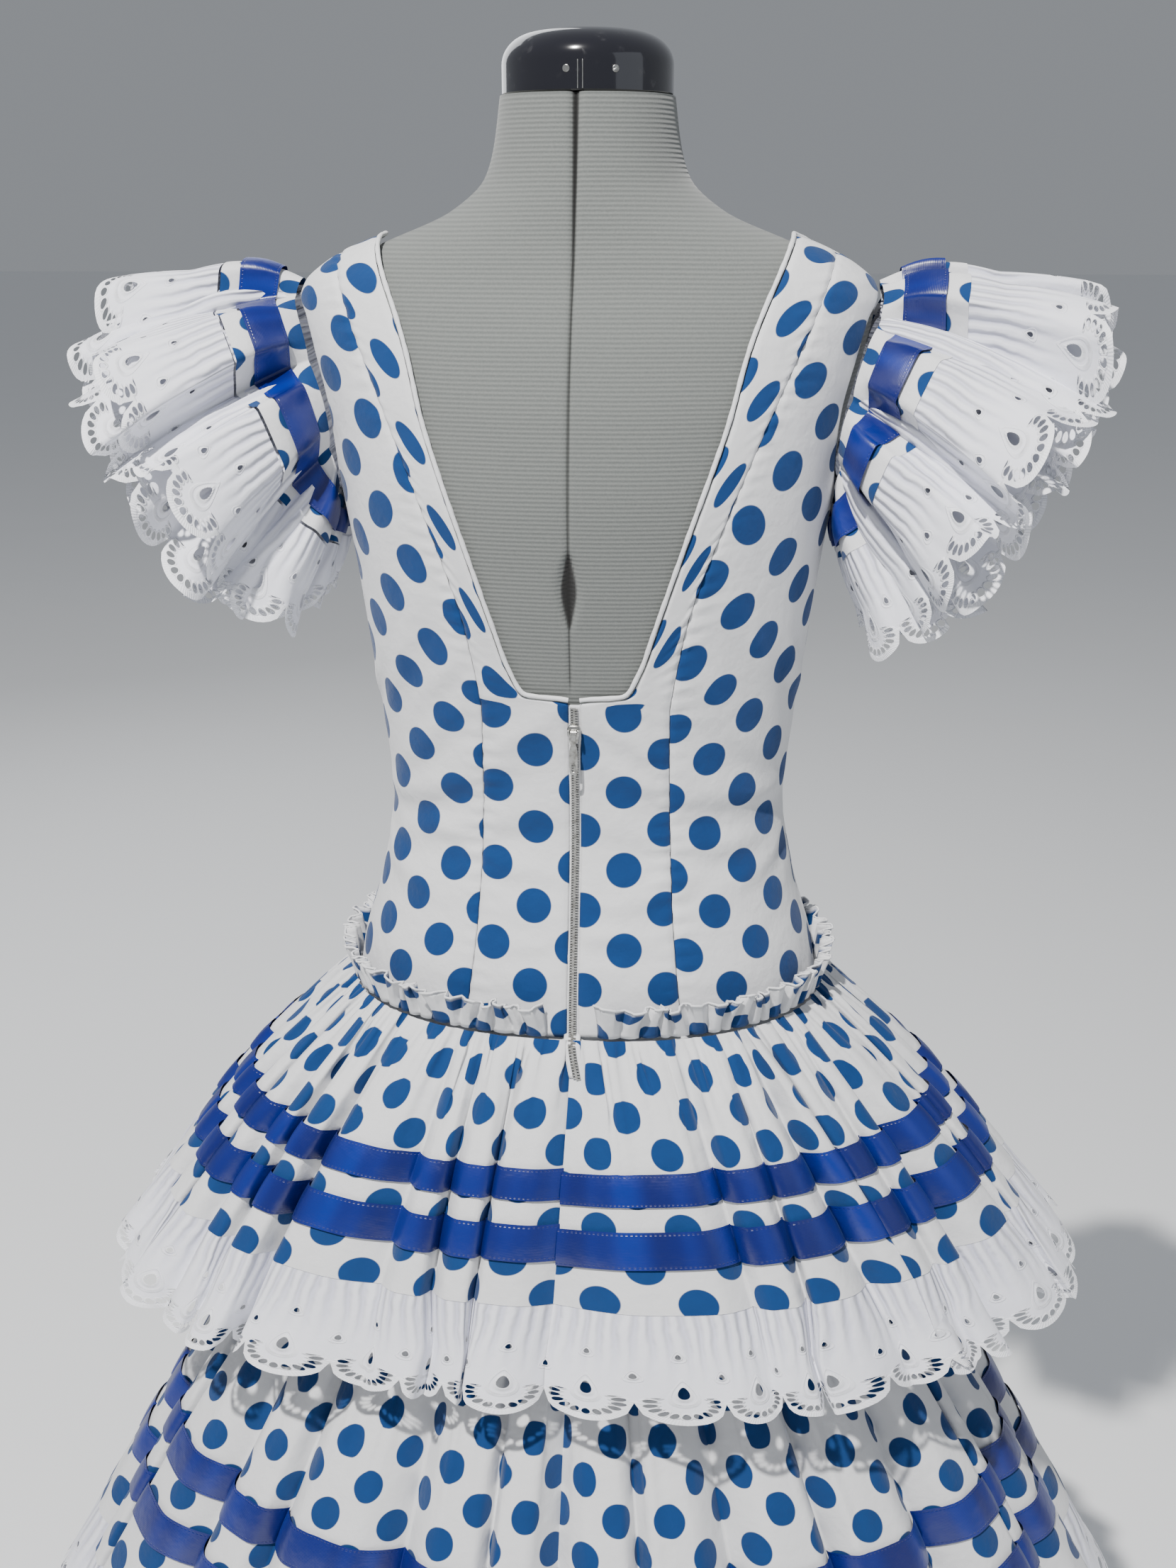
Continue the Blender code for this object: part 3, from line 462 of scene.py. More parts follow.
@dataclass(frozen=True)
class Ground:
    """The pale studio floor."""

    name: str = "studio_floor"
    pale: tuple = (0.93, 0.94, 0.95)

    def make(self) -> bpy.types.Material:
        """The material."""
        bench = Bench(self.name, Roughness=0.9, Specular_IOR_Level=0.1)
        bench.feed(Base_Color=bench.mix(bench.noise(3.0) * 0.06, self.pale, (0.6, 0.61, 0.62)))
        return bench.material


# The folds, placed after the photo, and much the same on the hidden sides. Each has its
# width beside its neighbours', its crest, the depth of the valley before it, and its lean.
TIER_1_FOLDS = (
    (2.70, .84, .72, .12), (1.28, .92, .94, -.10), (.86, 1.00, .74, -.46), (.62, .66, 1.70, .50),
    (1.35, .88, 1.28, -.20), (.72, .78, .64, -.25), (1.62, 1.02, 1.05, .28), (.58, .72, .88, .10),
    (1.02, .99, 1.34, -.40), (.78, .80, .66, .22), (1.85, .92, 1.12, .05), (.66, .70, .95, -.36),
    (.90, .96, .70, -.24), (1.30, .80, 1.25, .30), (.75, .90, .85, -.12), (1.10, .74, .95, .18),
    (.65, .98, 1.10, -.34), (1.50, .86, .75, .08), (.85, .72, 1.20, .40), (1.20, .94, .80, -.22),
    (.60, .82, .95, .26), (1.70, .90, 1.05, -.14), (1.00, .76, .65, .32), (.70, .96, 1.15, -.38),
    (1.25, .84, .90, .10), (.55, .68, .75, -.20), (1.40, 1.00, 1.20, .24), (.80, .78, .70, -.30),
    (.65, .88, 1.00, .38), (1.35, .92, .85, -.08), (.75, .80, .60, .20), (.95, .95, 1.25, -.26),
    (1.60, .85, .90, .14), (.70, .73, 1.05, -.42), (1.05, .97, .70, .28), (.85, .86, 1.30, -.10),
    (.62, .70, .75, .40), (1.26, 1.00, 1.62, .30), (2.30, .86, 1.48, -.10), (.76, .96, .86, .34),
    (.95, .82, .80, .25), (1.22, .46, .95, -.18),
)
TIER_2_FOLDS = (
    (.90, .82, .95, .10), (1.25, .96, .70, -.18), (1.50, .88, 1.30, .22), (1.90, .94, 1.05, -.08),
    (1.80, .86, 1.40, .30), (.65, .72, .90, -.35), (1.10, .98, .60, .15), (.80, .78, 1.10, -.42),
    (1.35, .92, .80, .05), (.70, .85, 1.20, .38), (1.05, .74, .65, -.20), (.60, .95, .95, .12),
    (1.55, .90, 1.15, -.30), (.85, .68, .75, .25), (.95, 1.00, 1.05, -.05), (.75, .80, .55, .40),
    (1.20, .93, .90, -.15), (.55, .70, 1.25, .20), (1.00, .88, .85, -.38), (.80, .97, .60, .10),
    (1.40, .84, 1.10, .28), (.65, .76, .80, -.25), (.90, 1.02, 1.00, .08), (1.15, .79, .65, -.40),
    (.70, .91, 1.20, .33), (.60, .66, .85, -.10), (1.30, .95, .95, .18), (.95, .82, .70, -.28),
    (.75, .99, 1.15, .42), (1.10, .87, .80, -.12), (.85, .73, .60, .26), (2.00, .92, 1.35, -.22),
    (1.40, .85, 1.00, .14), (2.10, .95, .90, -.06), (1.30, .78, 1.25, .24), (.80, .90, .75, -.16),
)
TIER_3_FOLDS = (
    (1.15, .90, .85, -.12), (.75, .70, 1.10, .30), (1.70, .95, .95, .06), (.90, .82, .60, -.34),
    (.65, .98, 1.20, .22), (1.30, .76, .80, -.08), (1.05, .92, 1.00, .36), (.60, .68, .70, -.26),
    (1.85, .88, 1.25, .16), (.80, .96, .90, -.40), (1.00, .74, .55, .10), (.70, .86, 1.15, -.18),
    (1.45, 1.00, 1.05, .28), (.95, .80, .65, -.30), (.85, .94, .95, .20), (1.60, .72, 1.30, -.05),
    (.65, .90, .75, .38), (1.10, .84, .85, -.22), (.75, .99, 1.10, .14), (1.25, .78, .60, -.36),
    (.55, .69, .90, .24), (1.00, .93, 1.20, -.14), (1.50, .87, .70, .32), (.80, .75, 1.00, -.24),
    (.90, .97, .80, .04), (1.20, .83, 1.15, -.42), (.70, .91, .65, .18), (1.75, .94, .95, -.10),
    (.60, .71, 1.05, .34), (1.05, .89, .75, -.20), (.85, .98, 1.25, .26), (1.35, .77, .85, -.32),
    (.95, .85, .60, .12), (.75, .95, 1.10, -.06), (1.40, .81, .90, .22), (1.00, .92, 1.00, -.28),
)
LEFT_SLEEVE_FOLDS = (
    (.85, .72, .90, .20), (1.05, .88, 1.00, -.30), (.90, .95, .85, .15), (1.15, .80, 1.05, -.10),
    (.80, .90, .80, .25), (1.00, .85, .95, -.20), (1.25, 1.00, .90, .30), (1.40, .95, 1.10, -.15),
    (1.05, .82, 1.00, .35), (.75, .70, .90, -.25),
)
RIGHT_SLEEVE_FOLDS = (
    (.80, .75, .95, -.15), (.95, .92, .85, .25), (1.10, .84, 1.05, -.20), (.85, .98, .80, .10),
    (1.00, .78, 1.00, -.35), (.90, .90, .90, .30), (1.15, .96, .95, -.10), (1.35, 1.00, 1.10, .20),
    (1.20, .88, .85, -.30), (.95, .80, 1.05, .40), (.70, .72, .90, -.05),
)
UNDER_SLEEVE_FOLDS = (
    (.85, .80, .95, -.10), (1.10, .90, 1.05, .22), (.75, .72, .90, -.28), (1.00, 1.00, .85, .14),
    (1.20, .86, 1.10, -.36), (.80, .94, .80, .30), (1.05, .78, 1.00, -.06), (1.30, .98, .95, .24),
    (.90, .84, .88, -.20), (.70, .74, 1.06, .34), (1.15, .96, .92, -.32), (.95, .88, .98, .08),
)


def between(low: float, high: float, share: float) -> float:
    """The value at this share of the way from low to high."""
    return low + (high - low) * share


def unit(vectors: np.ndarray) -> np.ndarray:
    """The vectors at length one."""
    return vectors / np.maximum(np.linalg.norm(vectors, axis=-1, keepdims=True), 1e-12)


def flattened(value: np.ndarray) -> np.ndarray:
    """A cosine or sine drawn out so that a round section becomes a squarer one."""
    return np.sign(value) * np.abs(value) ** (2 / Body.squareness)


def run_lengths(points: np.ndarray, axis: int = 0) -> np.ndarray:
    """How far each point is along its line, starting from nothing."""
    steps = np.linalg.norm(np.diff(points, axis=axis), axis=-1)
    first = np.zeros_like(np.take(steps, [0], axis=axis))
    return np.concatenate([first, np.cumsum(steps, axis=axis)], axis=axis)


class Curve:
    """A smooth line through rows of numbers that never swings past them."""

    def __init__(self, places: Sequence[float], rows: Sequence) -> None:
        """Works out the slopes.

        Args:
            places: where the rows are, rising.
            rows: a number or a row of numbers for each place.
        """
        self.places = np.asarray(places, float)
        self.rows = np.asarray(rows, float)
        self.steps = np.diff(self.places)
        wide = self.steps.reshape([-1] + [1] * (self.rows.ndim - 1))
        rises = np.diff(self.rows, axis=0) / wide
        self.slopes = np.empty_like(self.rows)
        self.slopes[0], self.slopes[-1] = rises[0], rises[-1]
        before, after = rises[:-1], rises[1:]
        agree = before * after > 0
        total = np.where(agree, before + after, 1.0)
        self.slopes[1:-1] = np.where(agree, 2 * before * after / total, 0.0)

    def at(self, place: np.ndarray) -> np.ndarray:
        """The row at each place, carried on straight beyond the ends."""
        place = np.asarray(place, float)
        held = np.clip(place, self.places[0], self.places[-1])
        i = np.clip(np.searchsorted(self.places, held, side="right") - 1, 0, len(self.steps) - 1)
        extra = (..., *([None] * (self.rows.ndim - 1)))
        step = self.steps[i][extra]
        s = ((held - self.places[i]) / self.steps[i])[extra]
        low, high = self.rows[i], self.rows[i + 1]
        left, right = self.slopes[i] * step, self.slopes[i + 1] * step
        value = (low * (1 + 2 * s) * (1 - s) ** 2 + left * s * (1 - s) ** 2
                 + high * s * s * (3 - 2 * s) - right * s * s * (1 - s))
        end = np.where(place < held, 0, len(self.steps))
        return value + self.slopes[end] * (place - held)[extra]


class Body:
    """The form's surface, from rings that each hold z, half width, depth behind and in front."""

    squareness = 2.25
    rings = (
        (0.730, 0.155, 0.110, 0.101), (0.745, 0.161, 0.115, 0.107), (0.820, 0.159, 0.114, 0.108),
        (0.887, 0.151, 0.110, 0.106), (0.940, 0.136, 0.098, 0.098), (0.997, 0.127, 0.088, 0.092),
        (1.052, 0.132, 0.091, 0.104), (1.100, 0.138, 0.097, 0.120), (1.156, 0.145, 0.104, 0.126),
        (1.200, 0.152, 0.107, 0.120), (1.245, 0.160, 0.103, 0.110), (1.285, 0.170, 0.092, 0.100),
        (1.308, 0.174, 0.082, 0.090), (1.3175, 0.170, 0.077, 0.085), (1.3265, 0.160, 0.073, 0.081),
        (1.3350, 0.145, 0.070, 0.077), (1.3440, 0.124, 0.067, 0.072), (1.362, 0.082, 0.063, 0.066),
        (1.380, 0.062, 0.059, 0.060), (1.397, 0.0565, 0.056, 0.056),
        (1.4245, 0.0525, 0.0525, 0.0525),
    )
    normal_step = 0.005
    angle_step = 0.02

    def __init__(self) -> None:
        """Makes the smooth line through the rings."""
        table = np.array(self.rings)
        self.sizes = Curve(table[:, 0], table[:, 1:])

    def skin(self, angle: np.ndarray, z: np.ndarray) -> np.ndarray:
        """The surface: angle 0 at the wearer's left side, a quarter turn at the centre back."""
        size = self.sizes.at(z)
        depth = np.where(np.sin(angle) >= 0, size[..., 1], size[..., 2])
        across = size[..., 0] * flattened(np.cos(angle))
        return np.stack([across, depth * flattened(np.sin(angle)), z + 0 * across], axis=-1)

    def point(self, angle: np.ndarray, z: np.ndarray, out: np.ndarray = 0.0) -> np.ndarray:
        """Points that stand out from the surface by this much."""
        angle, z, out = (a.astype(float) for a in np.broadcast_arrays(angle, z, out))
        along = self.skin(angle + self.angle_step, z) - self.skin(angle - self.angle_step, z)
        up = self.skin(angle, z + self.normal_step) - self.skin(angle, z - self.normal_step)
        return self.skin(angle, z) + unit(np.cross(along, up)) * out[..., None]

    def angle_at(self, x: np.ndarray, z: np.ndarray) -> np.ndarray:
        """The angle of the point of the back at this distance from the middle."""
        share = np.minimum(1.0, np.abs(x) / self.sizes.at(z)[..., 0])
        return np.arccos(share ** (self.squareness / 2))


class Level(NamedTuple):
    """A level of the skirt: an oval's half width and depths, and how deep its folds are."""

    z: float
    half_width: float
    back: float
    front: float
    fold: float

    def to(self, other: "Level", share: np.ndarray) -> "Level":
        """The levels at these shares of the way to another."""
        return Level(*(a + (b - a) * share for a, b in zip(self, other)))

    def ring(self, angle: np.ndarray, out: np.ndarray) -> np.ndarray:
        """Points of the oval, moved outwards and a little up."""
        across = flattened(np.cos(angle))
        behind = flattened(np.sin(angle))
        depth = np.where(np.sin(angle) >= 0, self.back, self.front)
        power = Body.squareness - 1
        outward = unit(np.stack([
            np.sign(across) * np.abs(across) ** power / self.half_width,
            np.sign(behind) * np.abs(behind) ** power / depth,
            0 * across * depth,
        ], axis=-1))
        place = np.stack([self.half_width * across, depth * behind, self.z + 0 * across], axis=-1)
        raised = unit(outward + np.array([0.0, 0.0, 0.35]))
        return place + raised * out[..., None]


class Folds:
    """A ring of folds side by side, each with its own width, crest, valley and lean."""

    def __init__(self, table: Sequence[Sequence[float]], curl: float = 0.035,
                 flatness: float = 4.2, knife: float = 0.40) -> None:
        """Lays the folds out.

        Args:
            table: for each fold its width, crest height, depth of the valley before it, and lean.
            curl: how far a fold's flanks bulge sideways, as a share of its width.
            flatness: how flat the crests and how narrow the valleys are.
            knife: how far a leaning fold's crest lies over the valley beside it.
        """
        widths, self.crests, self.valleys, self.leans = np.array(table).T
        self.edges = np.concatenate([[0.0], np.cumsum(widths)]) / widths.sum()
        self.joined = self.valleys.copy()
        self.joined[1::2] = -0.72 * self.crests[1::2]
        self.curl = curl
        self.flatness = flatness
        self.knife = knife

    def at(self, share: np.ndarray) -> tuple[np.ndarray, np.ndarray, np.ndarray, np.ndarray]:
        """The folds at shares of the way round.

        Args:
            share: from 0 to 1.

        Returns:
            How far out, as a share of the fold depth, with the folds apart and with each pair
            run together; and how far sideways and how far the fold leans, as shares of the way.
        """
        count = len(self.crests)
        i = np.clip(np.searchsorted(self.edges, share, side="right") - 1, 0, count - 1)
        width = self.edges[i + 1] - self.edges[i]
        p = np.clip((share - self.edges[i]) / width, 0, 1)
        rise = 1 - np.abs(2 * p - 1) ** self.flatness
        outs = []
        for valleys in (self.valleys, self.joined):
            low = valleys[i] + (valleys[(i + 1) % count] - valleys[i]) * p
            outs.append(-low + (self.crests[i] + low) * rise)
        side = (self.curl * np.sin(2 * TAU * p) + self.knife * self.leans[i] * rise) * width
        middles = (self.edges[1:] + self.edges[:-1]) / 2
        lean = np.interp(share, middles, self.leans, period=1.0) / count
        return *outs, side, lean


@dataclass
class Cloth:
    """A grid of points in rows down and columns along, with each point's place on flat cloth."""

    points: np.ndarray
    flat: np.ndarray

    @property
    def normals(self) -> np.ndarray:
        """The grid's own normals."""
        down, along = np.gradient(self.points, axis=(0, 1))
        return unit(np.cross(along, down))

    def lifted(self, distance: np.ndarray, inside: Sequence[float]) -> "Cloth":
        """The same cloth moved off its surface, away from the point inside."""
        normals = self.normals
        away = np.sum(normals * (self.points - np.array(inside)) * (1, 1, 0))
        return Cloth(self.points + normals * math.copysign(1, away) * distance, self.flat)

    def mirrored(self, side: Side) -> "Cloth":
        """The cloth on a side of the wearer."""
        return Cloth(self.points * (side.value, 1, 1), self.flat)


@dataclass
class Maker:
    """Turns points into pieces that ride on the frame, in the finishes of the scene."""

    body: Body
    finishes: dict

    def mesh(self, name: str, points: np.ndarray, faces: np.ndarray,
             flat: Optional[np.ndarray] = None, smooth: bool = True) -> bpy.types.Mesh:
        """A mesh of four-sided faces.

        Args:
            name: its name.
            points: one row a point.
            faces: one row of four numbers a face.
            flat: each point's place on the flat cloth.
            smooth: whether it is shaded smooth.

        Returns:
            The mesh.
        """
        mesh = bpy.data.meshes.new(name)
        mesh.vertices.add(len(points))
        mesh.vertices.foreach_set("co", np.ascontiguousarray(points, np.float32).ravel())
        mesh.loops.add(faces.size)
        mesh.loops.foreach_set("vertex_index", np.ascontiguousarray(faces, np.int32).ravel())
        mesh.polygons.add(len(faces))
        mesh.polygons.foreach_set("loop_start", np.arange(0, faces.size, 4, dtype=np.int32))
        mesh.update(calc_edges=True)
        values = np.zeros((len(points), 3)) if flat is None else flat
        held = mesh.attributes.new(CLOTH, "FLOAT_VECTOR", "POINT")
        held.data.foreach_set("vector", np.ascontiguousarray(values, np.float32).ravel())
        if smooth:
            mesh.shade_smooth()
        return mesh

    def add(self, mesh: bpy.types.Mesh, slot: Slot, replaced: Sequence[str] = (),
            body: str = "dress") -> bpy.types.Object:
        """Puts a mesh in the scene.

        Args:
            mesh: the mesh, whose name the piece takes.
            slot: the record's slot of its finish.
            replaced: the CAD nodes that it stands for.
            body: the body that it rides on.

        Returns:
            The piece.
        """
        piece = bpy.data.objects.new(mesh.name, mesh)
        bpy.context.scene.collection.objects.link(piece)
        mesh.materials.append(self.finishes[slot.value])
        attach(piece, body)
        if replaced:
            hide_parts(*replaced)
        LOG.info("%s: %d faces", piece.name, len(mesh.polygons))
        return piece

    def grid_faces(self, cloth: Cloth, inside: Sequence[float], closed: bool = False) -> np.ndarray:
        """The faces of a grid, turned to look away from the point inside.

        Args:
            cloth: the grid.
            inside: a point behind the cloth.
            closed: whether the last column joins the first.

        Returns:
            Rows of four numbers.
        """
        faces = quads(*cloth.points.shape[:2], closed)
        corners = cloth.points.reshape(-1, 3)[faces]
        normals = np.cross(corners[:, 2] - corners[:, 0], corners[:, 3] - corners[:, 1])
        away = np.sum(normals * (corners.mean(axis=1) - np.array(inside)) * (1, 1, 0.25))
        return faces if away > 0 else faces[:, ::-1]

    def cloth(self, name: str, cloth: Cloth, slot: Slot, replaced: Sequence[str] = (),
              inside: Sequence[float] = (0, 0, 1), wall: float = 0.0) -> bpy.types.Object:
        """A piece of cloth.

        Args:
            name: its name.
            cloth: its grid.
            slot: the slot of its finish.
            replaced: the CAD nodes that it stands for.
            inside: a point behind the cloth.
            wall: its thickness, or nothing for a single layer.

        Returns:
            The piece.
        """
        faces = self.grid_faces(cloth, inside)
        mesh = self.mesh(name, cloth.points.reshape(-1, 3), faces, cloth.flat.reshape(-1, 3))
        piece = self.add(mesh, slot, replaced)
        if wall:
            thicken(piece, wall)
        return piece

    def tube(self, name: str, path: np.ndarray, radius: np.ndarray, slot: Slot,
             replaced: Sequence[str] = (), sides: int = 10) -> bpy.types.Object:
        """A round cord along a path.

        Args:
            name: its name.
            path: the points of its middle.
            radius: its radius, one or one a point.
            slot: the slot of its finish.
            replaced: the CAD nodes that it stands for.
            sides: how many sides it has.

        Returns:
            The piece.
        """
        along = unit(np.gradient(path, axis=0))
        across = unit(np.cross(along, np.array([0.21, 0.13, 0.97])))
        up = np.cross(across, along)
        turns = np.linspace(0, TAU, sides, endpoint=False)[None, :, None]
        wide = np.broadcast_to(radius, len(path))[:, None, None]
        spokes = across[:, None] * np.cos(turns) + up[:, None] * np.sin(turns)
        ring = path[:, None] + spokes * wide
        far = np.broadcast_to(run_lengths(path)[:, None], ring.shape[:2])
        turned = np.broadcast_to(turns[..., 0] * np.mean(radius), ring.shape[:2])
        flat = np.stack([far, turned, 0 * far], axis=-1)
        faces = quads(*ring.shape[:2], True)
        mesh = self.mesh(name, ring.reshape(-1, 3), faces, flat.reshape(-1, 3))
        return self.add(mesh, slot, replaced)

    def solid(self, name: str, builder: bmesh.types.BMesh, slot: Slot,
              replaced: Sequence[str] = (), body: str = "dress", bevel: float = 0.0,
              ) -> bpy.types.Object:
        """A hard piece from a bmesh, with its edges rounded.

        Args:
            name: its name.
            builder: the bmesh, which is freed.
            slot: the slot of its finish.
            replaced: the CAD nodes that it stands for.
            body: the body that it rides on.
            bevel: the width of the rounded edges.

        Returns:
            The piece.
        """
        bmesh.ops.recalc_face_normals(builder, faces=builder.faces[:])
        mesh = bpy.data.meshes.new(name)
        builder.to_mesh(mesh)
        builder.free()
        mesh.shade_smooth()
        mesh.set_sharp_from_angle(angle=math.radians(38))
        piece = self.add(mesh, slot, replaced, body)
        if bevel:
            rounded = piece.modifiers.new("rounded", "BEVEL")
            rounded.width = bevel
            rounded.segments = 2
            rounded.limit_method = "ANGLE"
        return piece


def quads(rows: int, columns: int, closed: bool) -> np.ndarray:
    """The faces of a grid of points, its last column joined to the first where it is closed."""
    numbers = np.arange(rows * columns).reshape(rows, columns)
    if closed:
        numbers = np.concatenate([numbers, numbers[:, :1]], axis=1)
    return np.stack([numbers[:-1, :-1], numbers[:-1, 1:], numbers[1:, 1:], numbers[1:, :-1]],
                    axis=-1).reshape(-1, 4)


def thicken(piece: bpy.types.Object, wall: float) -> None:
    """Gives a piece of cloth its thickness, inwards."""
    wall_modifier = piece.modifiers.new("wall", "SOLIDIFY")
    wall_modifier.thickness = wall
    wall_modifier.offset = -1.0


def add_box(builder: bmesh.types.BMesh, centre: Sequence[float], size: Sequence[float]) -> None:
    """Adds a box to a bmesh."""
    made = bmesh.ops.create_cube(builder, size=1.0)["verts"]
    bmesh.ops.scale(builder, verts=made, vec=size)
    bmesh.ops.translate(builder, verts=made, vec=centre)


def add_turned(builder: bmesh.types.BMesh, profile: Sequence[tuple[float, float]],
               sides: int = 96) -> None:
    """Adds a solid of revolution about Z from (radius, z) pairs, capped at both ends."""
    rings = []
    for radius, z in profile:
        turns = [TAU * i / sides for i in range(sides)]
        rings.append([builder.verts.new((radius * math.cos(a), radius * math.sin(a), z))
                      for a in turns])
    for low, high in zip(rings, rings[1:]):
        for i in range(sides):
            other = (i + 1) % sides
            builder.faces.new([low[i], low[other], high[other], high[i]])
    builder.faces.new(rings[0])
    builder.faces.new(rings[-1])


def rounded_profile(profile: Sequence[tuple[float, float]], steps: int = 5) -> list:
    """A turned profile with its corners cut by short curves.

    Args:
        profile: (radius, z) corners.
        steps: points on each curve.

    Returns:
        The finer profile.
    """
    points = [np.array(p, float) for p in profile]
    made = [tuple(points[0])]
    for before, corner, after in zip(points, points[1:], points[2:]):
        reach = min(0.004, 0.45 * np.linalg.norm(corner - before),
                    0.45 * np.linalg.norm(after - corner))
        start = corner + (before - corner) / np.linalg.norm(before - corner) * reach
        end = corner + (after - corner) / np.linalg.norm(after - corner) * reach
        for i in range(steps + 1):
            s = i / steps
            made.append(tuple(start * (1 - s) ** 2 + corner * 2 * s * (1 - s) + end * s * s))
    made.append(tuple(points[-1]))
    return made


@dataclass
class DressForm:
    """The torso with its slit, the neck cap with its screws, the pole and the base."""

    inset: float = 0.0010
    sides: int = 220
    slit_x: float = 0.0026
    slit_levels: tuple = (1.081, 1.125, 1.1305, 1.150, 1.1695, 1.175, 1.291, 1.4245)
    slit_half: tuple = (0.0004, 0.0005, 0.0016, 0.0046, 0.0016, 0.0006, 0.0007, 0.0019)
    slit_depth: float = 0.0035
    cap_radius: float = 0.0505
    cap_levels: tuple = (1.4248, 1.461)
    cap_side: float = 0.45
    pole_radius: float = 0.016
    base_profile: tuple = ((0.165, 0.0), (0.165, 0.010), (0.099, 0.019), (0.0338, 0.025),
                           (0.0262, 0.030), (0.026, 0.055))

    def build(self, maker: Maker) -> None:
        """Adds every piece of the form."""
        self.torso(maker)
        self.cap(maker)
        builder = bmesh.new()
        add_turned(builder, [(self.pole_radius, 0.0553), (self.pole_radius, 0.7297)])
        maker.solid("pole", builder, Slot.STEEL, ["form_pole"])
        builder = bmesh.new()
        add_turned(builder, rounded_profile(self.base_profile))
        maker.solid("round_base", builder, Slot.GLOSS, ["form_base"])

    def torso(self, maker: Maker) -> None:
        """The jersey torso, pressed in and darkened along the slit at the centre back."""
        z = np.concatenate([np.linspace(0.730, 1.05, 40), np.linspace(1.054, 1.4245, 140)])[:, None]
        near = np.linspace(-0.16, 0.16, 81)
        rest = np.linspace(0.16, TAU - 0.16, self.sides - 81)[1:-1]
        angle = BACK + np.concatenate([near, rest])[None]
        half = Curve(self.slit_levels, self.slit_half).at(z)
        base = maker.body.point(angle, z)
        away = np.where(np.sin(angle) > 0.9, np.abs(base[..., 0] - self.slit_x), 1.0)
        above = np.clip((z - 1.085) / 0.01, 0, 1)
        dark = above / (1 + np.exp(np.clip((away - half) / 0.00022, -50, 50)))
        dent = above * np.exp(-(away / (half + 0.0011)) ** 2)
        depth = self.slit_depth * np.clip(half / 0.002, 0.25, 1.2)
        points = maker.body.point(angle, z, -self.inset - depth * dent)
        points[0, :, 2] = 0.730
        along = angle * 0.12 + 0 * z
        flat = np.stack([along, z + 0 * angle, dark], axis=-1)
        cloth = Cloth(points, flat)
        faces = maker.grid_faces(cloth, (0, 0, 1), closed=True)
        mesh = maker.mesh("jersey_torso", points.reshape(-1, 3), faces, flat.reshape(-1, 3))
        builder = bmesh.new()
        builder.from_mesh(mesh)
        builder.verts.ensure_lookup_table()
        count = points.shape[1]
        builder.faces.new([builder.verts[i] for i in range(count)])
        last = len(builder.verts) - count
        builder.faces.new([builder.verts[last + i] for i in range(count)])
        bmesh.ops.recalc_face_normals(builder, faces=builder.faces[:])
        builder.to_mesh(mesh)
        builder.free()
        mesh.shade_smooth()
        mesh.set_sharp_from_angle(angle=math.radians(60))
        maker.add(mesh, Slot.JERSEY, ["form_torso"])

    def cap(self, maker: Maker) -> None:
        """The black cap with its two screws and the bright slot at the back."""
        low, high = self.cap_levels
        height = high - low
        profile = [(self.cap_radius - 0.0008, low), (self.cap_radius, low + 0.0008),
                   (self.cap_radius, low + self.cap_side * height)]
        for turn in range(6, 91, 6):
            across = math.cos(math.radians(turn))
            up = math.sin(math.radians(turn))
            profile.append((max(0.004, self.cap_radius * between(self.cap_side, 1.0, across)
                                - 0.0225 * (turn / 90) ** 6),
                            low + height * between(self.cap_side, 1.0, up)))
        builder = bmesh.new()
        add_turned(builder, profile)
        maker.solid("neck_cap", builder, Slot.GLOSS, ["form_neck_cap"])
        builder = bmesh.new()
        for place, tilt in ((-0.40, 0.5), (0.16, 1.2)):
            angle = BACK - place
            where = Vector((math.cos(angle), math.sin(angle), 0.0))
            centre = where * (self.cap_radius - 0.0002) + Vector((0, 0, low + 0.0115))
            self.screw(builder, centre, where, tilt)
        maker.solid("cap_screws", builder, Slot.STEEL, bevel=0.00015)
        builder = bmesh.new()
        for x, size in ((-0.0014, 0.0006), (0.0014, 0.0006)):
            add_box(builder, (x, self.cap_radius - 0.0003, low + 0.0085), (size, 0.0022, 0.015))
        add_box(builder, (0.0, self.cap_radius - 0.0009, low + 0.0080), (0.0026, 0.0014, 0.011))
        maker.solid("cap_slot_plate", builder, Slot.STEEL, bevel=0.0002)

    def screw(self, builder: bmesh.types.BMesh, centre: Vector, out: Vector, tilt: float) -> None:
        """Adds a slotted screw head that looks out of the cap's side."""
        turn = out.to_track_quat("Z", "Y").to_matrix().to_4x4()
        head = bmesh.ops.create_cone(builder, segments=24, radius1=0.0024, radius2=0.0019,
                                     depth=0.0012, cap_ends=True)["verts"]
        blade = bmesh.ops.create_cube(builder, size=1.0)["verts"]
        bmesh.ops.scale(builder, verts=blade, vec=(0.0034, 0.0005, 0.0004))
        bmesh.ops.rotate(builder, verts=blade, matrix=Matrix.Rotation(tilt, 3, "Z"))
        bmesh.ops.translate(builder, verts=blade, vec=(0, 0, 0.00065))
        bmesh.ops.transform(builder, verts=head + blade, matrix=turn)
        bmesh.ops.translate(builder, verts=head + blade, vec=centre)


class Rib(NamedTuple):
    """Matching points of a back: the neck or zip edge, the long seam, and the side."""

    edge_x: float
    edge_z: float
    seam_x: float
    seam_z: float
    side_angle: float
    side_z: float


class Crease(NamedTuple):
    """A soft crease: its middle on the body, its length, width and depth, and its lean."""

    angle: float
    z: float
    length: float
    width: float
    depth: float
    lean: float


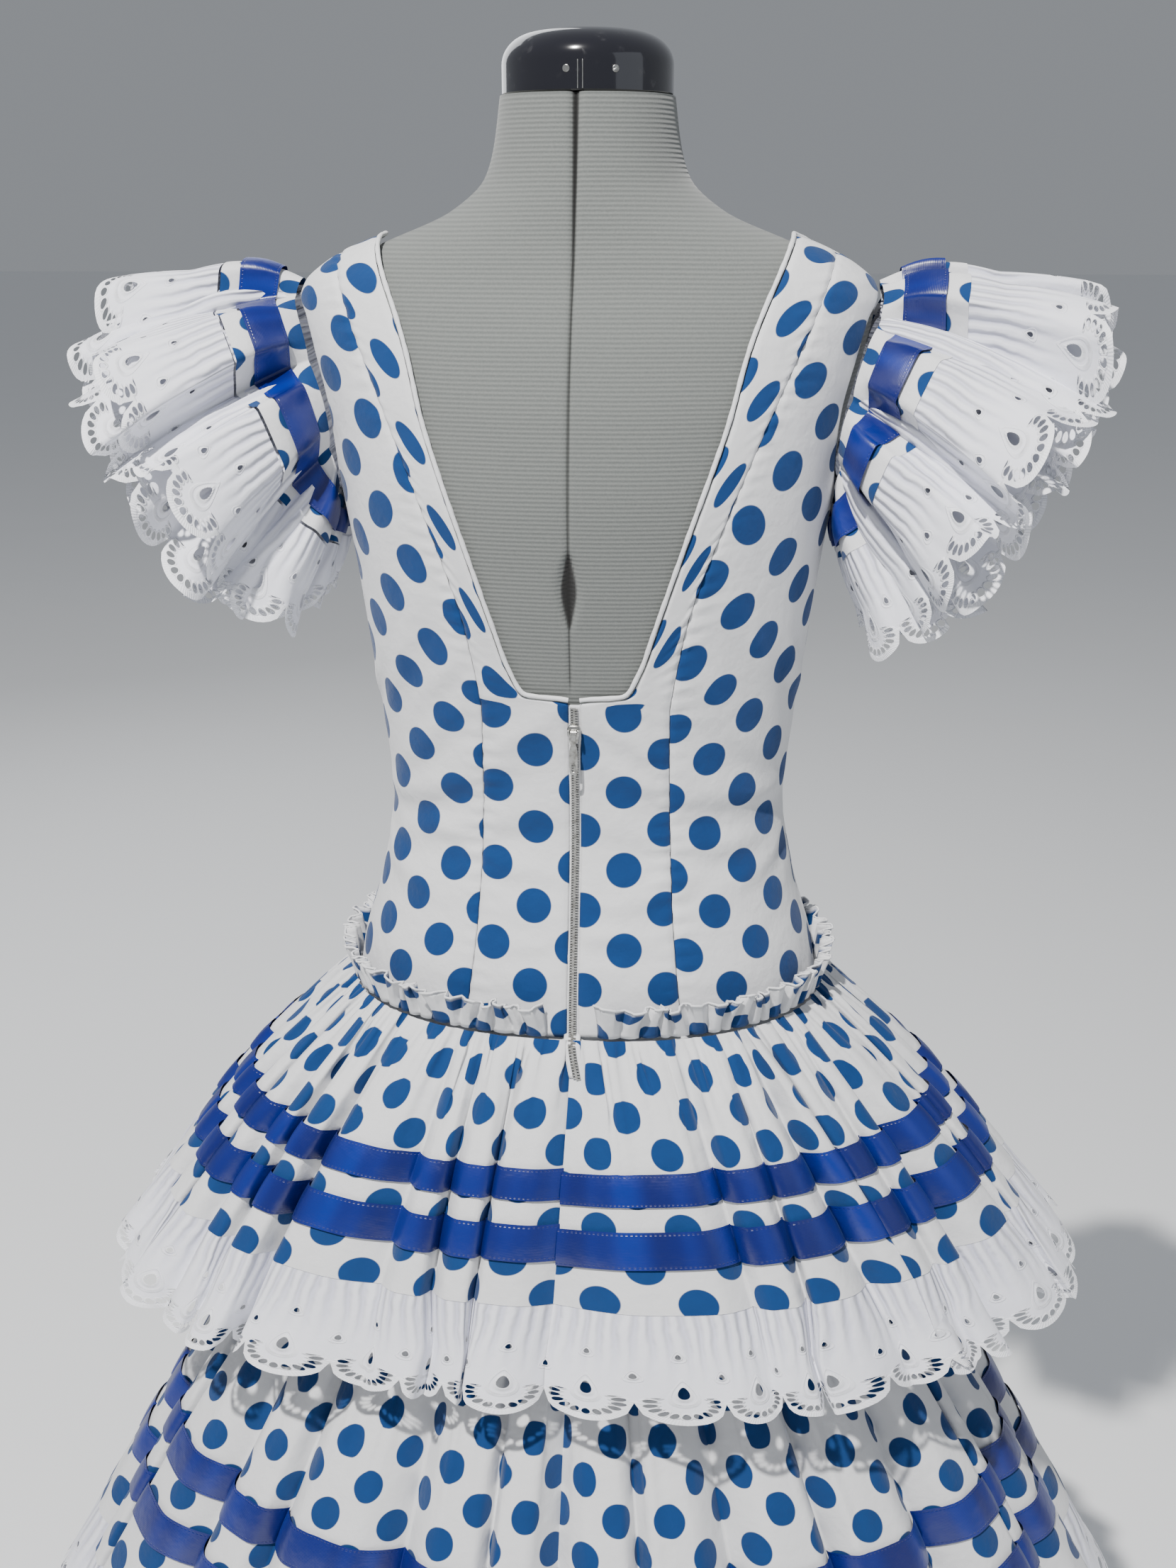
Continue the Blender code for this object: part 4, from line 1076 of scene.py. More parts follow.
@dataclass
class Bodice:
    """The fitted bodice: two centre backs, two side backs, and a front with its straps."""

    wall: float = 0.0015
    ease: float = 0.0016
    shoulder_ease: float = 0.0030
    shoulder: float = 1.3175
    underarm: float = 1.185
    hip: float = 0.866
    gap: float = 0.0003
    cell: float = 0.0029
    neck_rise: float = 0.020
    strap_share: float = 0.25
    roll: float = 0.0011
    roll_reach: float = 0.0022
    pucker: float = 0.00055
    pucker_step: float = 0.0105
    pucker_reach: float = 0.011
    front_radius: float = 0.151
    finish_wall: float = 0.0007
    piping_radius: float = 0.0014
    piping_away: float = 0.0022
    ribs: tuple = tuple(Rib(*row) for row in (
        (.0034, .866, .069, .866, 0, .866), (.0034, .940, .061, .940, 0, .940),
        (.0034, .997, .058, .997, 0, .997), (.0034, 1.045, .057, 1.045, 0, 1.050),
        (.0034, 1.081, .057, 1.075, 0, 1.090), (.030, 1.084, .0584, 1.086, 0, 1.112),
        (.041, 1.101, .066, 1.128, 0, 1.155), (.050, 1.128, .076, 1.160, 0, 1.185),
        (.067, 1.180, .093, 1.205, 14, 1.215), (.089, 1.245, .117, 1.262, 20, 1.260),
        (.100, 1.286, .134, 1.300, 18, 1.300), (.124, 1.344, .147, 1.3345, 0, 1.3175),
    ))
    straps: tuple = ((0, 1.185, None, None), (14, 1.215, .104, 1.228), (20, 1.260, .106, 1.268),
                     (18, 1.300, .112, 1.308), (0, 1.3175, .124, 1.3440))
    creases: tuple = tuple(Crease(*row) for row in (
        (1.30, 1.055, .085, .0075, .0016, .55), (1.12, 1.030, .090, .0080, .0018, .42),
        (.98, .992, .100, .0085, .0019, .22), (1.20, .975, .080, .0070, .0013, -.28),
        (.85, 1.052, .080, .0080, .0015, .70), (.60, 1.010, .090, .0090, .0019, .18),
        (.45, .960, .090, .0080, .0014, -.30), (.72, 1.105, .090, .0090, .0016, .95),
        (1.02, 1.098, .060, .0070, .0013, .80), (.30, 1.080, .080, .0080, .0015, .60),
        (1.86, 1.050, .085, .0075, .0016, -.62), (2.02, 1.022, .095, .0085, .0019, -.35),
        (2.20, .985, .100, .0080, .0018, -.12), (1.95, .958, .070, .0070, .0012, .35),
        (2.32, 1.058, .085, .0085, .0017, -.60), (2.55, 1.015, .095, .0090, .0018, -.10),
        (2.70, .968, .085, .0080, .0015, .32), (2.42, 1.112, .085, .0090, .0017, -.90),
        (2.12, 1.090, .060, .0070, .0012, -.75), (2.86, 1.088, .080, .0080, .0015, -.55),
        (1.45, .925, .060, .0065, .0010, .15), (1.70, .930, .065, .0065, .0011, -.22),
        (-.35, 1.020, .100, .0090, .0018, .35), (-.75, .985, .110, .0095, .0017, .15),
        (-1.20, 1.010, .120, .0100, .0015, -.08), (-1.80, 1.002, .115, .0095, .0016, .12),
        (-2.30, .978, .105, .0090, .0018, -.20), (-2.75, 1.030, .095, .0090, .0017, -.42),
        (-.95, 1.090, .090, .0100, .0015, .75), (-2.15, 1.085, .085, .0100, .0016, -.70),
        (-1.45, .935, .090, .0080, .0012, .05), (-.50, .930, .080, .0080, .0013, -.30),
    ))

    def out(self, z: np.ndarray) -> np.ndarray:
        """How far the cloth's outer side is from the body, most on the shoulders."""
        share = np.clip((z - self.shoulder + 0.012) / 0.016, 0, 1)
        smooth = share * share * (3 - 2 * share)
        return self.wall + between(self.ease, self.shoulder_ease, smooth)

    def folds(self, angle: np.ndarray, z: np.ndarray, radius: np.ndarray) -> np.ndarray:
        """How far the creases raise the cloth at each place."""
        total = np.zeros(np.broadcast(angle, z).shape)
        for crease in self.creases:
            aside = (angle - crease.angle) * radius
            rise = z - crease.z
            lean = (math.cos(crease.lean), math.sin(crease.lean))
            along = aside * lean[0] + rise * lean[1]
            across = rise * lean[0] - aside * lean[1]
            bend = across - 0.18 * along * along / crease.length
            length = np.exp(-(along / (0.5 * crease.length)) ** 2)
            ridge = np.exp(-(bend / crease.width) ** 2)
            trough = np.exp(-((bend + 1.7 * crease.width) / crease.width) ** 2)
            total += crease.depth * length * (ridge - 0.7 * trough)
        return total

    def shaped(self, body: Body, angle: np.ndarray, z: np.ndarray, seed: float,
               seams: tuple[bool, bool] = (True, True), origin: float = 0.5) -> Cloth:
        """A panel's cloth from its places on the body.

        Args:
            body: the form's surface.
            angle: each point's angle, in rows up and columns across.
            z: each point's height.
            seed: where its puckers and its dots start.
            seams: whether the first and the last column are puckered seams.
            origin: the share of its width that its grain line is at.

        Returns:
            The cloth, with rolled edges, puckers and creases.
        """
        base = body.point(angle, z, self.out(z))
        far = run_lengths(base, axis=1)
        width = far[:, -1:]
        rise = run_lengths(base[:, base.shape[1] // 2])[:, None] + 0 * far
        sides = run_lengths(base[:, 0])[:, None], run_lengths(base[:, -1])[:, None]
        move = np.zeros_like(far)
        for away, run, puckered, shift in zip((far, width - far), sides, seams, (0.0, 1.3)):
            move -= self.roll * np.exp(-(away / self.roll_reach) ** 2)
            if puckered:
                wander = 0.9 * np.sin(run * 61 + seed + shift) + 0.5 * np.sin(run * 143 + 2 * seed)
                wave = np.sin(run * TAU / self.pucker_step + wander + shift + seed)
                reach = self.pucker_reach * (0.75 + 0.35 * np.sin(run * 88 + seed * 3))
                swell = np.exp(-((away - 0.003) / reach) ** 2)
                move += self.pucker * wave * swell * (1 + 0.5 * np.sin(run * 37 + seed))
        size = body.sizes.at(z)[..., 0]
        edges = np.minimum(1, np.minimum(far, width - far) / 0.02 + 0.35)
        soft = self.folds(angle, z, 0.92 * size) * edges
        points = body.point(angle, z, self.out(z) + move + np.maximum(soft, -0.0009))
        along = far - origin * width + 0.0125 * seed
        return Cloth(points, np.stack([along, -rise + 0.031 * seed, 0 * far], axis=-1))

    def spaced(self, length: float) -> np.ndarray:
        """Shares across a panel, closer together at its edges."""
        count = max(6, round(length / self.cell))
        inner = np.linspace(0, 1, count + 1)
        near = np.array([0.0012, 0.0028]) / length
        return np.unique(np.concatenate([inner, near, 1 - near]))

    def build(self, maker: Maker) -> None:
        """Adds the panels and the piping."""
        for side in Side:
            self.back(maker, side)
        self.front(maker)
        self.piping(maker)

    def rib_rows(self, body: Body) -> dict[str, np.ndarray]:
        """The back's lines as angles and heights, in rows a cell apart."""
        table = np.array(self.ribs)
        table[:, 4] = np.radians(table[:, 4])
        curve = Curve(range(len(table)), table)
        fine = curve.at(np.linspace(0, len(table) - 1, 900))
        seam = body.point(body.angle_at(fine[:, 2], fine[:, 3]), fine[:, 3])
        run = run_lengths(seam)
        rows = np.interp(np.linspace(0, run[-1], round(run[-1] / self.cell)), run,
                         np.linspace(0, len(table) - 1, 900))
        line = curve.at(rows)
        gap = 0.5 * self.gap / body.sizes.at(line[:, 3])[:, 0]
        return {
            "edge": np.maximum(body.angle_at(line[:, 0], line[:, 1]), gap), "edge_z": line[:, 1],
            "seam": body.angle_at(line[:, 2], line[:, 3]), "seam_z": line[:, 3],
            "arm": np.maximum(line[:, 4], gap), "arm_z": line[:, 5], "gap": gap,
        }

    def back(self, maker: Maker, side: Side) -> None:
        """One side's centre back and side back."""
        line = self.rib_rows(maker.body)
        seed = 0.7 if side is Side.LEFT else 2.3
        outside = np.maximum(line["seam"] - line["gap"], line["gap"])
        inside = np.maximum(line["seam"] + line["gap"], line["gap"])
        for name, start, end, length, seams, origin in (
                ("back", (line["edge"], line["edge_z"]), (inside, line["seam_z"]), 0.064,
                 (False, True), 0.35),
                ("side_back", (outside, line["seam_z"]), (line["arm"], line["arm_z"]), 0.13,
                 (True, False), 0.5)):
            share = self.spaced(length)[None]
            angle = start[0][:, None] * (1 - share) + end[0][:, None] * share
            z = start[1][:, None] * (1 - share) + end[1][:, None] * share
            placed = angle if side is Side.LEFT else math.pi - angle
            cloth = self.shaped(maker.body, placed, z, seed + len(name) * 0.3, seams, origin)
            node = f"bodice_{name}_{side.word}"
            piece = maker.cloth(f"{name}_panel_{side.word}", cloth, Slot.DOTTED, [node],
                                wall=self.finish_wall)
            0.090 if name == "back" else 0.150
            0.0262 if name == "back" else 0.0395

    def front_places(self) -> tuple[np.ndarray, np.ndarray]:
        """The front's angles and heights from the hip to the straps, in rows up."""
        share = np.linspace(0, 1, 145)[None]
        rows = np.linspace(0, 1, 106)[:, None]
        top = self.underarm + self.neck_rise * np.sin(math.pi * share) ** 2
        z = self.hip + (top - self.hip) * rows
        gap = 0.5 * self.gap / self.front_radius
        angle = -gap + (2 * gap - math.pi) * share
        return angle + 0 * rows, z

    def strap_places(self, body: Body) -> tuple[np.ndarray, np.ndarray]:
        """The left strap's angles and heights, in rows from the armpit up."""
        angle, z = self.front_places()
        count = round(self.strap_share * (angle.shape[1] - 1)) + 1
        low_angle, low_z = angle[-1, :count], z[-1, :count]
        arm = [(low_angle[0], low_z[0])]
        neck = [(low_angle[-1], low_z[-1])]
        gap = 0.5 * self.gap / self.front_radius
        for arm_angle, arm_z, neck_x, neck_z in self.straps[1:]:
            arm.append((-max(math.radians(arm_angle), gap), arm_z))
            neck.append((-max(float(body.angle_at(neck_x, neck_z)), gap), neck_z))
        rows = np.linspace(0, len(arm) - 1, 60)
        arm = Curve(range(len(arm)), arm).at(rows)[:, None]
        neck = Curve(range(len(neck)), neck).at(rows)[:, None]
        share = np.linspace(0, 1, count)[None, :, None]
        places = arm * (1 - share) + neck * share
        straight = places[0]
        fade = (1 - rows[:, None, None] / rows[-1]) ** 3
        places = places + (np.stack([low_angle, low_z], axis=-1) - straight)[None] * fade
        return places[..., 0], places[..., 1]

    def front(self, maker: Maker) -> None:
        """The front panel and both its straps, as one piece."""
        body = maker.body
        parts = [self.shaped(body, *self.front_places(), 1.4, (False, False))]
        angle, z = self.strap_places(body)
        base = body.point(angle, z, self.out(z))
        far = run_lengths(base, axis=1)
        rise = run_lengths(base[:, base.shape[1] // 2])[:, None] + 0 * far
        start = parts[0].flat[-1, :angle.shape[1]]
        soft = self.folds(angle, z, 0.16)
        move = -self.roll * np.exp(-(np.minimum(far, far[:, -1:] - far) / self.roll_reach) ** 2)
        fade = np.linspace(0, 1, len(angle))[:, None] ** 0.5
        points = body.point(angle, z, self.out(z) + soft + move * fade)
        points[0] = parts[0].points[-1, :angle.shape[1]]
        along = start[None, :, 0] + 0 * far
        flat = np.stack([along, start[None, :, 1] - rise, 0 * far], axis=-1)
        parts.append(Cloth(points, flat))
        other = Cloth(points * (-1, 1, 1), flat * (-1, 1, 1))
        other.points[0] = parts[0].points[-1, ::-1][:angle.shape[1]]
        other.flat[0] = parts[0].flat[-1, ::-1][:angle.shape[1]]
        parts.append(other)
        faces, points, flats, first = [], [], [], 0
        for part in parts:
            faces.append(maker.grid_faces(part, (0, 0, 1.2)) + first)
            points.append(part.points.reshape(-1, 3))
            flats.append(part.flat.reshape(-1, 3))
            first += len(points[-1])
        mesh = maker.mesh("front_panel", np.concatenate(points), np.concatenate(faces),
                          np.concatenate(flats))
        builder = bmesh.new()
        builder.from_mesh(mesh)
        bmesh.ops.remove_doubles(builder, verts=builder.verts[:], dist=1e-6)
        builder.to_mesh(mesh)
        builder.free()
        piece = maker.add(mesh, Slot.DOTTED, ["bodice_front"])
        thicken(piece, self.finish_wall)

    def piping(self, maker: Maker) -> None:
        """Rounded white piping just beyond the neck edge, open at the zip."""
        body = maker.body
        line = self.rib_rows(body)
        used = line["edge_z"] >= 1.0808
        half = list(zip(line["edge"][used], line["edge_z"][used]))
        angle, z = self.strap_places(body)
        half += list(zip(angle[-2::-1, -1], z[-2::-1, -1]))
        front_angle, front_z = self.front_places()
        start, end = angle.shape[1], (front_angle.shape[1] + 1) // 2
        half += list(zip(front_angle[-1, start:end], front_z[-1, start:end]))
        half = np.array(half)
        points = []
        for places, mirror in ((half, 1), (half[-2::-1], -1)):
            middle = body.point(places[:, 0], places[:, 1], self.out(places[:, 1]) - self.wall / 2)
            normal = unit(body.point(places[:, 0], places[:, 1], 0.01)
                          - body.point(places[:, 0], places[:, 1]))
            points.append((middle * (mirror, 1, 1), normal * (mirror, 1, 1)))
        middle = np.concatenate([part[0] for part in points])
        normal = np.concatenate([part[1] for part in points])
        along = unit(np.gradient(middle, axis=0))
        path = middle + unit(np.cross(along, normal)) * self.piping_away
        run = run_lengths(path)
        even = np.linspace(0, run[-1], round(run[-1] / 0.0022))
        path = np.stack([np.interp(even, run, path[:, k]) for k in range(3)], axis=-1)
        radius = self.piping_radius * (1 + 0.05 * np.sin(even * 610) + 0.06 * np.sin(even * 271))
        piece = maker.tube("piping", path, radius, Slot.WHITE, ["neck_piping"], 12)


@dataclass
class Zip:
    """The zip: tapes, teeth, slider and the pull tab that hinges on it."""

    levels: tuple = (0.845, 1.078)
    hip: float = 0.8660
    drift: float = 0.0042
    pitch: float = 0.00165
    tooth: tuple = (0.0031, 0.0012, 0.00072)
    tape: tuple = (0.0052, 0.0008)
    placket: tuple = (0.1176, 0.443)
    slider: tuple = (0.0085, 0.0030, 0.0120)
    slider_z: float = 1.062
    shield: tuple = ((-1, .52), (-.7, .70), (-.2, .78), (.25, .92), (.62, 1), (.88, .86), (1, .5))
    pivot: tuple = (0.0, 0.100728, 1.064)
    lug: tuple = (0.0014, 0.0043, 0.0036)
    barrel: tuple = (0.0013, 0.0040)
    pull: tuple = (0.0026, 0.0011, 0.0070, 0.0270)
    hole: tuple = (0.0013, 0.0195, 0.0248)

    def line(self, body: Body, z: np.ndarray, out: float) -> np.ndarray:
        """The zip's middle: on the body, and below the hip on the first tier's placket."""
        above = body.point(np.full_like(z, BACK), z, out)[:, 1]
        below = self.placket[0] + (self.hip - z) * self.placket[1] + out
        share = np.clip((self.hip + 0.002 - z) / 0.004, 0, 1)
        x = -self.drift * np.clip((self.hip - z) / 0.02, 0, 1.2) ** 1.4
        return np.stack([x, above * (1 - share) + below * share, z], axis=-1)

    def build(self, maker: Maker) -> None:
        """Adds the zip's pieces."""
        body = maker.body
        z = np.linspace(self.levels[0], self.levels[1] + 0.002, 120)
        middle = self.line(body, z, 0.0021)
        across = np.linspace(-1, 1, 9)
        offset = across[None, :, None] * np.array([self.tape[0], 0, 0])
        points = middle[:, None] + offset - np.array([0, 0.0004, 0]) * across[None, :, None] ** 2
        flat = np.stack([points[..., 0], points[..., 2], 0 * points[..., 0]], axis=-1)
        tape = maker.cloth("zip_tape", Cloth(points, flat), Slot.WHITE, wall=0.0004)
        count = int((self.levels[1] - self.levels[0]) / (self.pitch / 2))
        places = np.linspace(*self.levels, count)
        line = self.line(body, places, 0.0029)
        builder = bmesh.new()
        for i, place in enumerate(line):
            side = 1 if i % 2 else -1
            centre = place + (side * 0.00085, 0.0, 0.0)
            add_box(builder, centre, self.tooth)
        maker.solid("zip_teeth", builder, Slot.STEEL, ["zip_chain"])
        self.slider_body(maker)
        self.tab(maker)

    def slider_body(self, maker: Maker) -> None:
        """The slider: a shield with a waist, and two lugs for the tab."""
        width, deep, high = self.slider
        outline = []
        for share, wide in self.shield:
            outline.append((wide * width / 2, share * high / 2))
        outline += [(-x, z) for x, z in reversed(outline)]
        y = self.pivot[1] - 0.00294
        builder = bmesh.new()
        layers = []
        for depth, shrink in ((-deep / 2, 0.96), (deep * 0.28, 1.0), (deep / 2, 0.84)):
            layers.append([builder.verts.new((x * shrink, y + depth, self.slider_z + z * shrink))
                           for x, z in outline])
        for low, high_layer in zip(layers, layers[1:]):
            for k in range(len(outline)):
                other = (k + 1) % len(outline)
                builder.faces.new([low[k], low[other], high_layer[other], high_layer[k]])
        builder.faces.new(layers[0])
        builder.faces.new(layers[-1])
        for side in (-1, 1):
            x = side * (self.barrel[1] / 2 + 0.0003 + self.lug[0] / 2)
            add_box(builder, (x, self.pivot[1] - self.lug[1] / 2 + 0.0018, self.pivot[2]), self.lug)
        maker.solid("zip_slider_body", builder, Slot.STEEL, ["zip_slider"], bevel=0.0003)

    def tab(self, maker: Maker) -> None:
        """The tab: a barrel, a neck that widens, and a rounded plate with a slot."""
        half, thick, top, low = self.pull
        hole_half, hole_high, hole_low = self.hole
        count = 48
        outer, inner = [], []
        for k in range(count):
            turn = TAU * k / count
            c, s = math.cos(turn), math.sin(turn)
            middle, tall = -(top + low) / 2, (low - top) / 2
            widen = 0.62 + 0.38 * min(1.0, max(0.0, (0.95 - s) / 0.9)) ** 0.6
            outer.append((half * widen * math.copysign(abs(c) ** 0.45, c),
                          middle + tall * math.copysign(abs(s) ** 0.45, s)))
            centre, rise = -(hole_high + hole_low) / 2, (hole_low - hole_high) / 2
            inner.append((hole_half * math.copysign(abs(c) ** 0.7, c),
                          centre + rise * math.copysign(abs(s) ** 0.7, s)))
        builder = bmesh.new()
        layers = []
        for y in (-thick / 2, thick / 2):
            layers.append(([builder.verts.new((x, y, z)) for x, z in outer],
                           [builder.verts.new((x, y, z)) for x, z in inner]))
        for k in range(count):
            other = (k + 1) % count
            for rim, slot in layers:
                builder.faces.new([rim[k], rim[other], slot[other], slot[k]])
            for ring in (0, 1):
                a, b = layers[0][ring], layers[1][ring]
                builder.faces.new([a[k], a[other], b[other], b[k]])
        turned = bmesh.ops.create_cone(builder, segments=24, radius1=self.barrel[0],
                                       radius2=self.barrel[0], depth=self.barrel[1],
                                       cap_ends=True)["verts"]
        bmesh.ops.rotate(builder, verts=turned, matrix=Matrix.Rotation(math.pi / 2, 3, "Y"))
        add_box(builder, (0.0, 0.0, -0.0044), (0.0029, thick * 0.96, 0.0064))
        bmesh.ops.translate(builder, verts=builder.verts[:], vec=self.pivot)
        maker.solid("zip_pull_tab", builder, Slot.STEEL, ["zip_pull"], "zip_pull", bevel=0.0002)


@dataclass
class HipFrill:
    """The narrow gathered frill that stands over the hip seam, open at the zip."""

    count: int = 86
    gap: float = 0.078
    levels: tuple = (0.8675, 0.8890)
    root: float = 0.0063
    stand: float = 0.0074
    depth: tuple = (0.0016, 0.0052)
    curl: float = 0.105
    per_fold: int = 14
    rows: int = 9
    flat_height: float = 0.026
    hem: float = 0.00075

    def build(self, maker: Maker) -> None:
        """Adds the frill and its rolled hem."""
        table = []
        for k in range(self.count):
            width = 1 + 0.24 * math.sin(1.7 * k) + 0.16 * math.sin(3.1 * k + 1)
            crest = 0.86 + 0.22 * math.sin(2.3 * k + 0.6)
            table.append((width, crest, 0.84 + 0.16 * math.sin(4.1 * k), 0.8 * math.sin(1.1 * k)))
        folds = Folds(table, self.curl, 2.6, 0.16)
        share = np.linspace(0, 1, self.count * self.per_fold + 1)[None]
        t = np.linspace(0, 1, self.rows)[:, None]
        out, _, side, lean = folds.at(share)
        angle = BACK + self.gap + (TAU - 2 * self.gap) * (share + side * t + lean * t * t * 0.6)
        wave = 0.0011 * np.sin(share * TAU * 31 + 1.1) + 0.0008 * np.sin(share * TAU * 53)
        z = self.levels[0] + (self.levels[1] - self.levels[0] + wave) * t
        deep = self.depth[0] + (self.depth[1] - self.depth[0]) * t ** 0.7
        stand = self.root + self.stand * t ** 1.3 + out * deep
        points = maker.body.point(angle, z, stand)
        far = run_lengths(points[self.rows // 2])
        plain = np.broadcast_to((t > 0.93).astype(float), points.shape[:2])
        flat = np.stack([far[None] + 0 * t, -t * self.flat_height + 0 * share, plain], axis=-1)
        piece = maker.cloth("gathered_frill", Cloth(points, flat), Slot.DOTTED, ["hip_frill"],
                            wall=0.0005)
        maker.tube("frill_hem", points[-1][::2], self.hem, Slot.WHITE, sides=6)


@dataclass
class Tier:
    """A gathered flounce with its ribbons and its lace."""

    name: str
    top: Level
    edge: Level
    lace: Level
    ribbons: tuple
    table: tuple
    length: float
    per_scallop: int
    seed: float
    rests_on: tuple
    rows: int = 42
    scallop: float = 0.040
    scallop_depth: float = 0.0155
    lace_rows: int = 13
    lift: float = 0.0023
    wall: float = 0.0012
    gather: float = 0.0030
    gather_end: float = 0.62
    gather_count: int = 104
    bulge: float = 0.005
    placket: float = 0.0

    def __post_init__(self) -> None:
        """Lays out the folds and the columns, which are evenly spaced on the flat cloth."""
        self.folds = Folds(self.table)
        beat = np.arange(self.gather_count) + self.seed
        self.gathers = Folds(np.stack([
            1 + 0.40 * np.sin(beat * 2.4) + 0.22 * np.sin(beat * 5.1),
            0.75 + 0.35 * np.sin(beat * 1.7), 0.55 + 0.45 * np.sin(beat * 0.9 + 1.0),
            0.5 * np.sin(beat * 3.3)], axis=-1), 0.13, 2.0, 0.3)
        fine = np.linspace(0, 1, 9001)
        run = run_lengths(self.place(fine[None], np.array([[0.62]]))[0])
        self.scallops = round(run[-1] / self.scallop)
        self.girth = self.scallops * self.scallop
        even = np.linspace(0, run[-1], self.scallops * self.per_scallop + 1)
        self.share = np.interp(even, run, fine)[None]
        self.along = np.linspace(0, self.girth, self.share.size)[None]

    def place(self, share: np.ndarray, t: np.ndarray, out: float = 0.0) -> np.ndarray:
        """Points of the cloth.

        Args:
            share: how far round from the centre back, towards the wearer's right.
            t: how far down, 1 at the flounce's edge and 2 at the lace's.
            out: how far off the surface.

        Returns:
            The points.
        """
        upper = self.top.to(self.edge, np.minimum(t, 1.0))
        lower = self.edge.to(self.lace, np.maximum(t - 1.0, 0.0))
        level = Level(*(np.where(t <= 1, a, b) for a, b in zip(upper, lower)))
        split, merged, side, lean = self.folds.at(share)
        merge = 0.62 * np.clip((t - 0.45) / 0.9, 0, 1)
        ripple = split * (1 - merge) + merged * merge
        grow = 0.35 + 0.55 * np.clip(t / 0.22, 0, 1) + 0.30 * np.exp(-((t - 0.42) / 0.30) ** 2)
        depth = level.fold * grow
        pleat, _, shift, _ = self.gathers.at(share)
        reach = self.gather_end * (0.70 + 0.45 * np.sin(share * TAU * 13 + self.seed) ** 2)
        fade = np.clip(1 - t / reach, 0, 1) ** 1.3
        rises = 0.40 + 0.60 * np.clip(t / 0.07, 0, 1)
        gathers = self.gather * fade * rises * pleat
        total = ripple * depth + gathers + self.bulge * np.sin(math.pi * np.minimum(t, 1.0)) + out
        slow = np.sin(share * TAU * 5 + self.seed) * 0.0035 * np.clip(t, 0, 1.6)
        flare = np.clip(t / 0.25, 0.15, 1)
        swing = side * (1 - 0.3 * merge) * flare + lean * np.clip(t, 0, 1.6)
        swing = swing + fade * rises * shift
        if self.placket:
            total = total + self.placket * np.exp(-share / 0.0035) * (t < 0.82)
        angle = BACK + TAU * (share + swing)
        return level.ring(angle, total + slow)

    def flat(self, down: np.ndarray, third: np.ndarray = 0.0) -> np.ndarray:
        """Places on the flat cloth for rows this far down."""
        down = down + 0 * self.along
        return np.stack([self.along + 0 * down, down, third + 0 * down], axis=-1)

    def build(self, maker: Maker) -> None:
        """Adds the flounce, the ribbons and the lace."""
        t = np.linspace(0, 1, self.rows)[:, None]
        flounce = Cloth(self.place(self.share, t, self.wall), self.flat(t * self.length))
        piece = maker.cloth(f"{self.name}_cloth", flounce, Slot.DOTTED, [f"{self.name}_flounce"])
        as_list(self.rests_on)
        for word, high, low, node in self.ribbons:
            across = np.linspace(0, 1, 6)[:, None]
            step = 0.016 * np.exp(-self.share / 0.010) if self.placket else 0.0
            rows = high + (low - high) * across + step
            puff = 0.0006 * np.sin(math.pi * across)
            base = Cloth(self.place(self.share, rows, self.wall), self.flat(across, across))
            ribbon = base.lifted(self.lift * 0.55 + puff[..., None], (0, 0, 1))
            ribbon.points += (self.place(self.share, rows, self.lift) - base.points) * 0.5
            width = (low - high) * self.length
            ribbon.flat = self.flat(across * width, across)
            piece = maker.cloth(f"{self.name}_{word}", ribbon, Slot.SATIN, node)
        across = ((self.along / self.scallop) % 1.0 - 0.5) * 2
        arc = self.scallop_depth * np.sqrt(np.maximum(0.0, 1 - across ** 2))
        fall = math.hypot(self.edge.z - self.lace.z, self.lace.half_width - self.edge.half_width)
        notch = fall + 0.010 - self.scallop_depth
        share = np.linspace(0, 1, self.lace_rows)[:, None]
        down = share * (notch + arc)
        waves = 0.0022 * np.sin(self.along / self.scallop * math.pi + self.seed) * share ** 2
        points = self.place(self.share, 1.0 + down / fall, self.wall * 0.6 + waves)
        nodes = [f"{self.name}_lace_{word}" for word in ("left", "right")]
        lace = Cloth(points, self.flat(down - notch))
        piece = maker.cloth(f"{self.name}_lace_edge", lace, Slot.LACE, nodes)


@dataclass
class BaseSkirt:
    """A plain flared ring of white cotton that carries the tier below."""

    name: str
    node: str
    top: Level
    bottom: Level
    length: float
    rests_on: tuple

    def build(self, maker: Maker) -> None:
        """Adds it."""
        share = np.linspace(0, 1, 361)[None]
        t = np.linspace(0, 1, 24)[:, None]
        waves = (0.0012 * np.sin(share * TAU * 13) + 0.0009 * np.sin(share * TAU * 22 + 1)) * t
        level = self.top.to(self.bottom, t)
        points = level.ring(BACK + TAU * share, waves + 0.0004)
        far = run_lengths(points[12])
        flat = np.stack([far[None] + 0 * t, t * self.length + 0 * share, 0 * t * share], axis=-1)
        piece = maker.cloth(self.name, Cloth(points, flat), Slot.WHITE, [self.node], wall=0.0006)
        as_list(self.rests_on)


class Arm(NamedTuple):
    """The armhole's ring on the body, in degrees and metres, and how wide its cloth spreads."""

    angle: float
    z: float
    rise: float
    lift: float
    spread: float


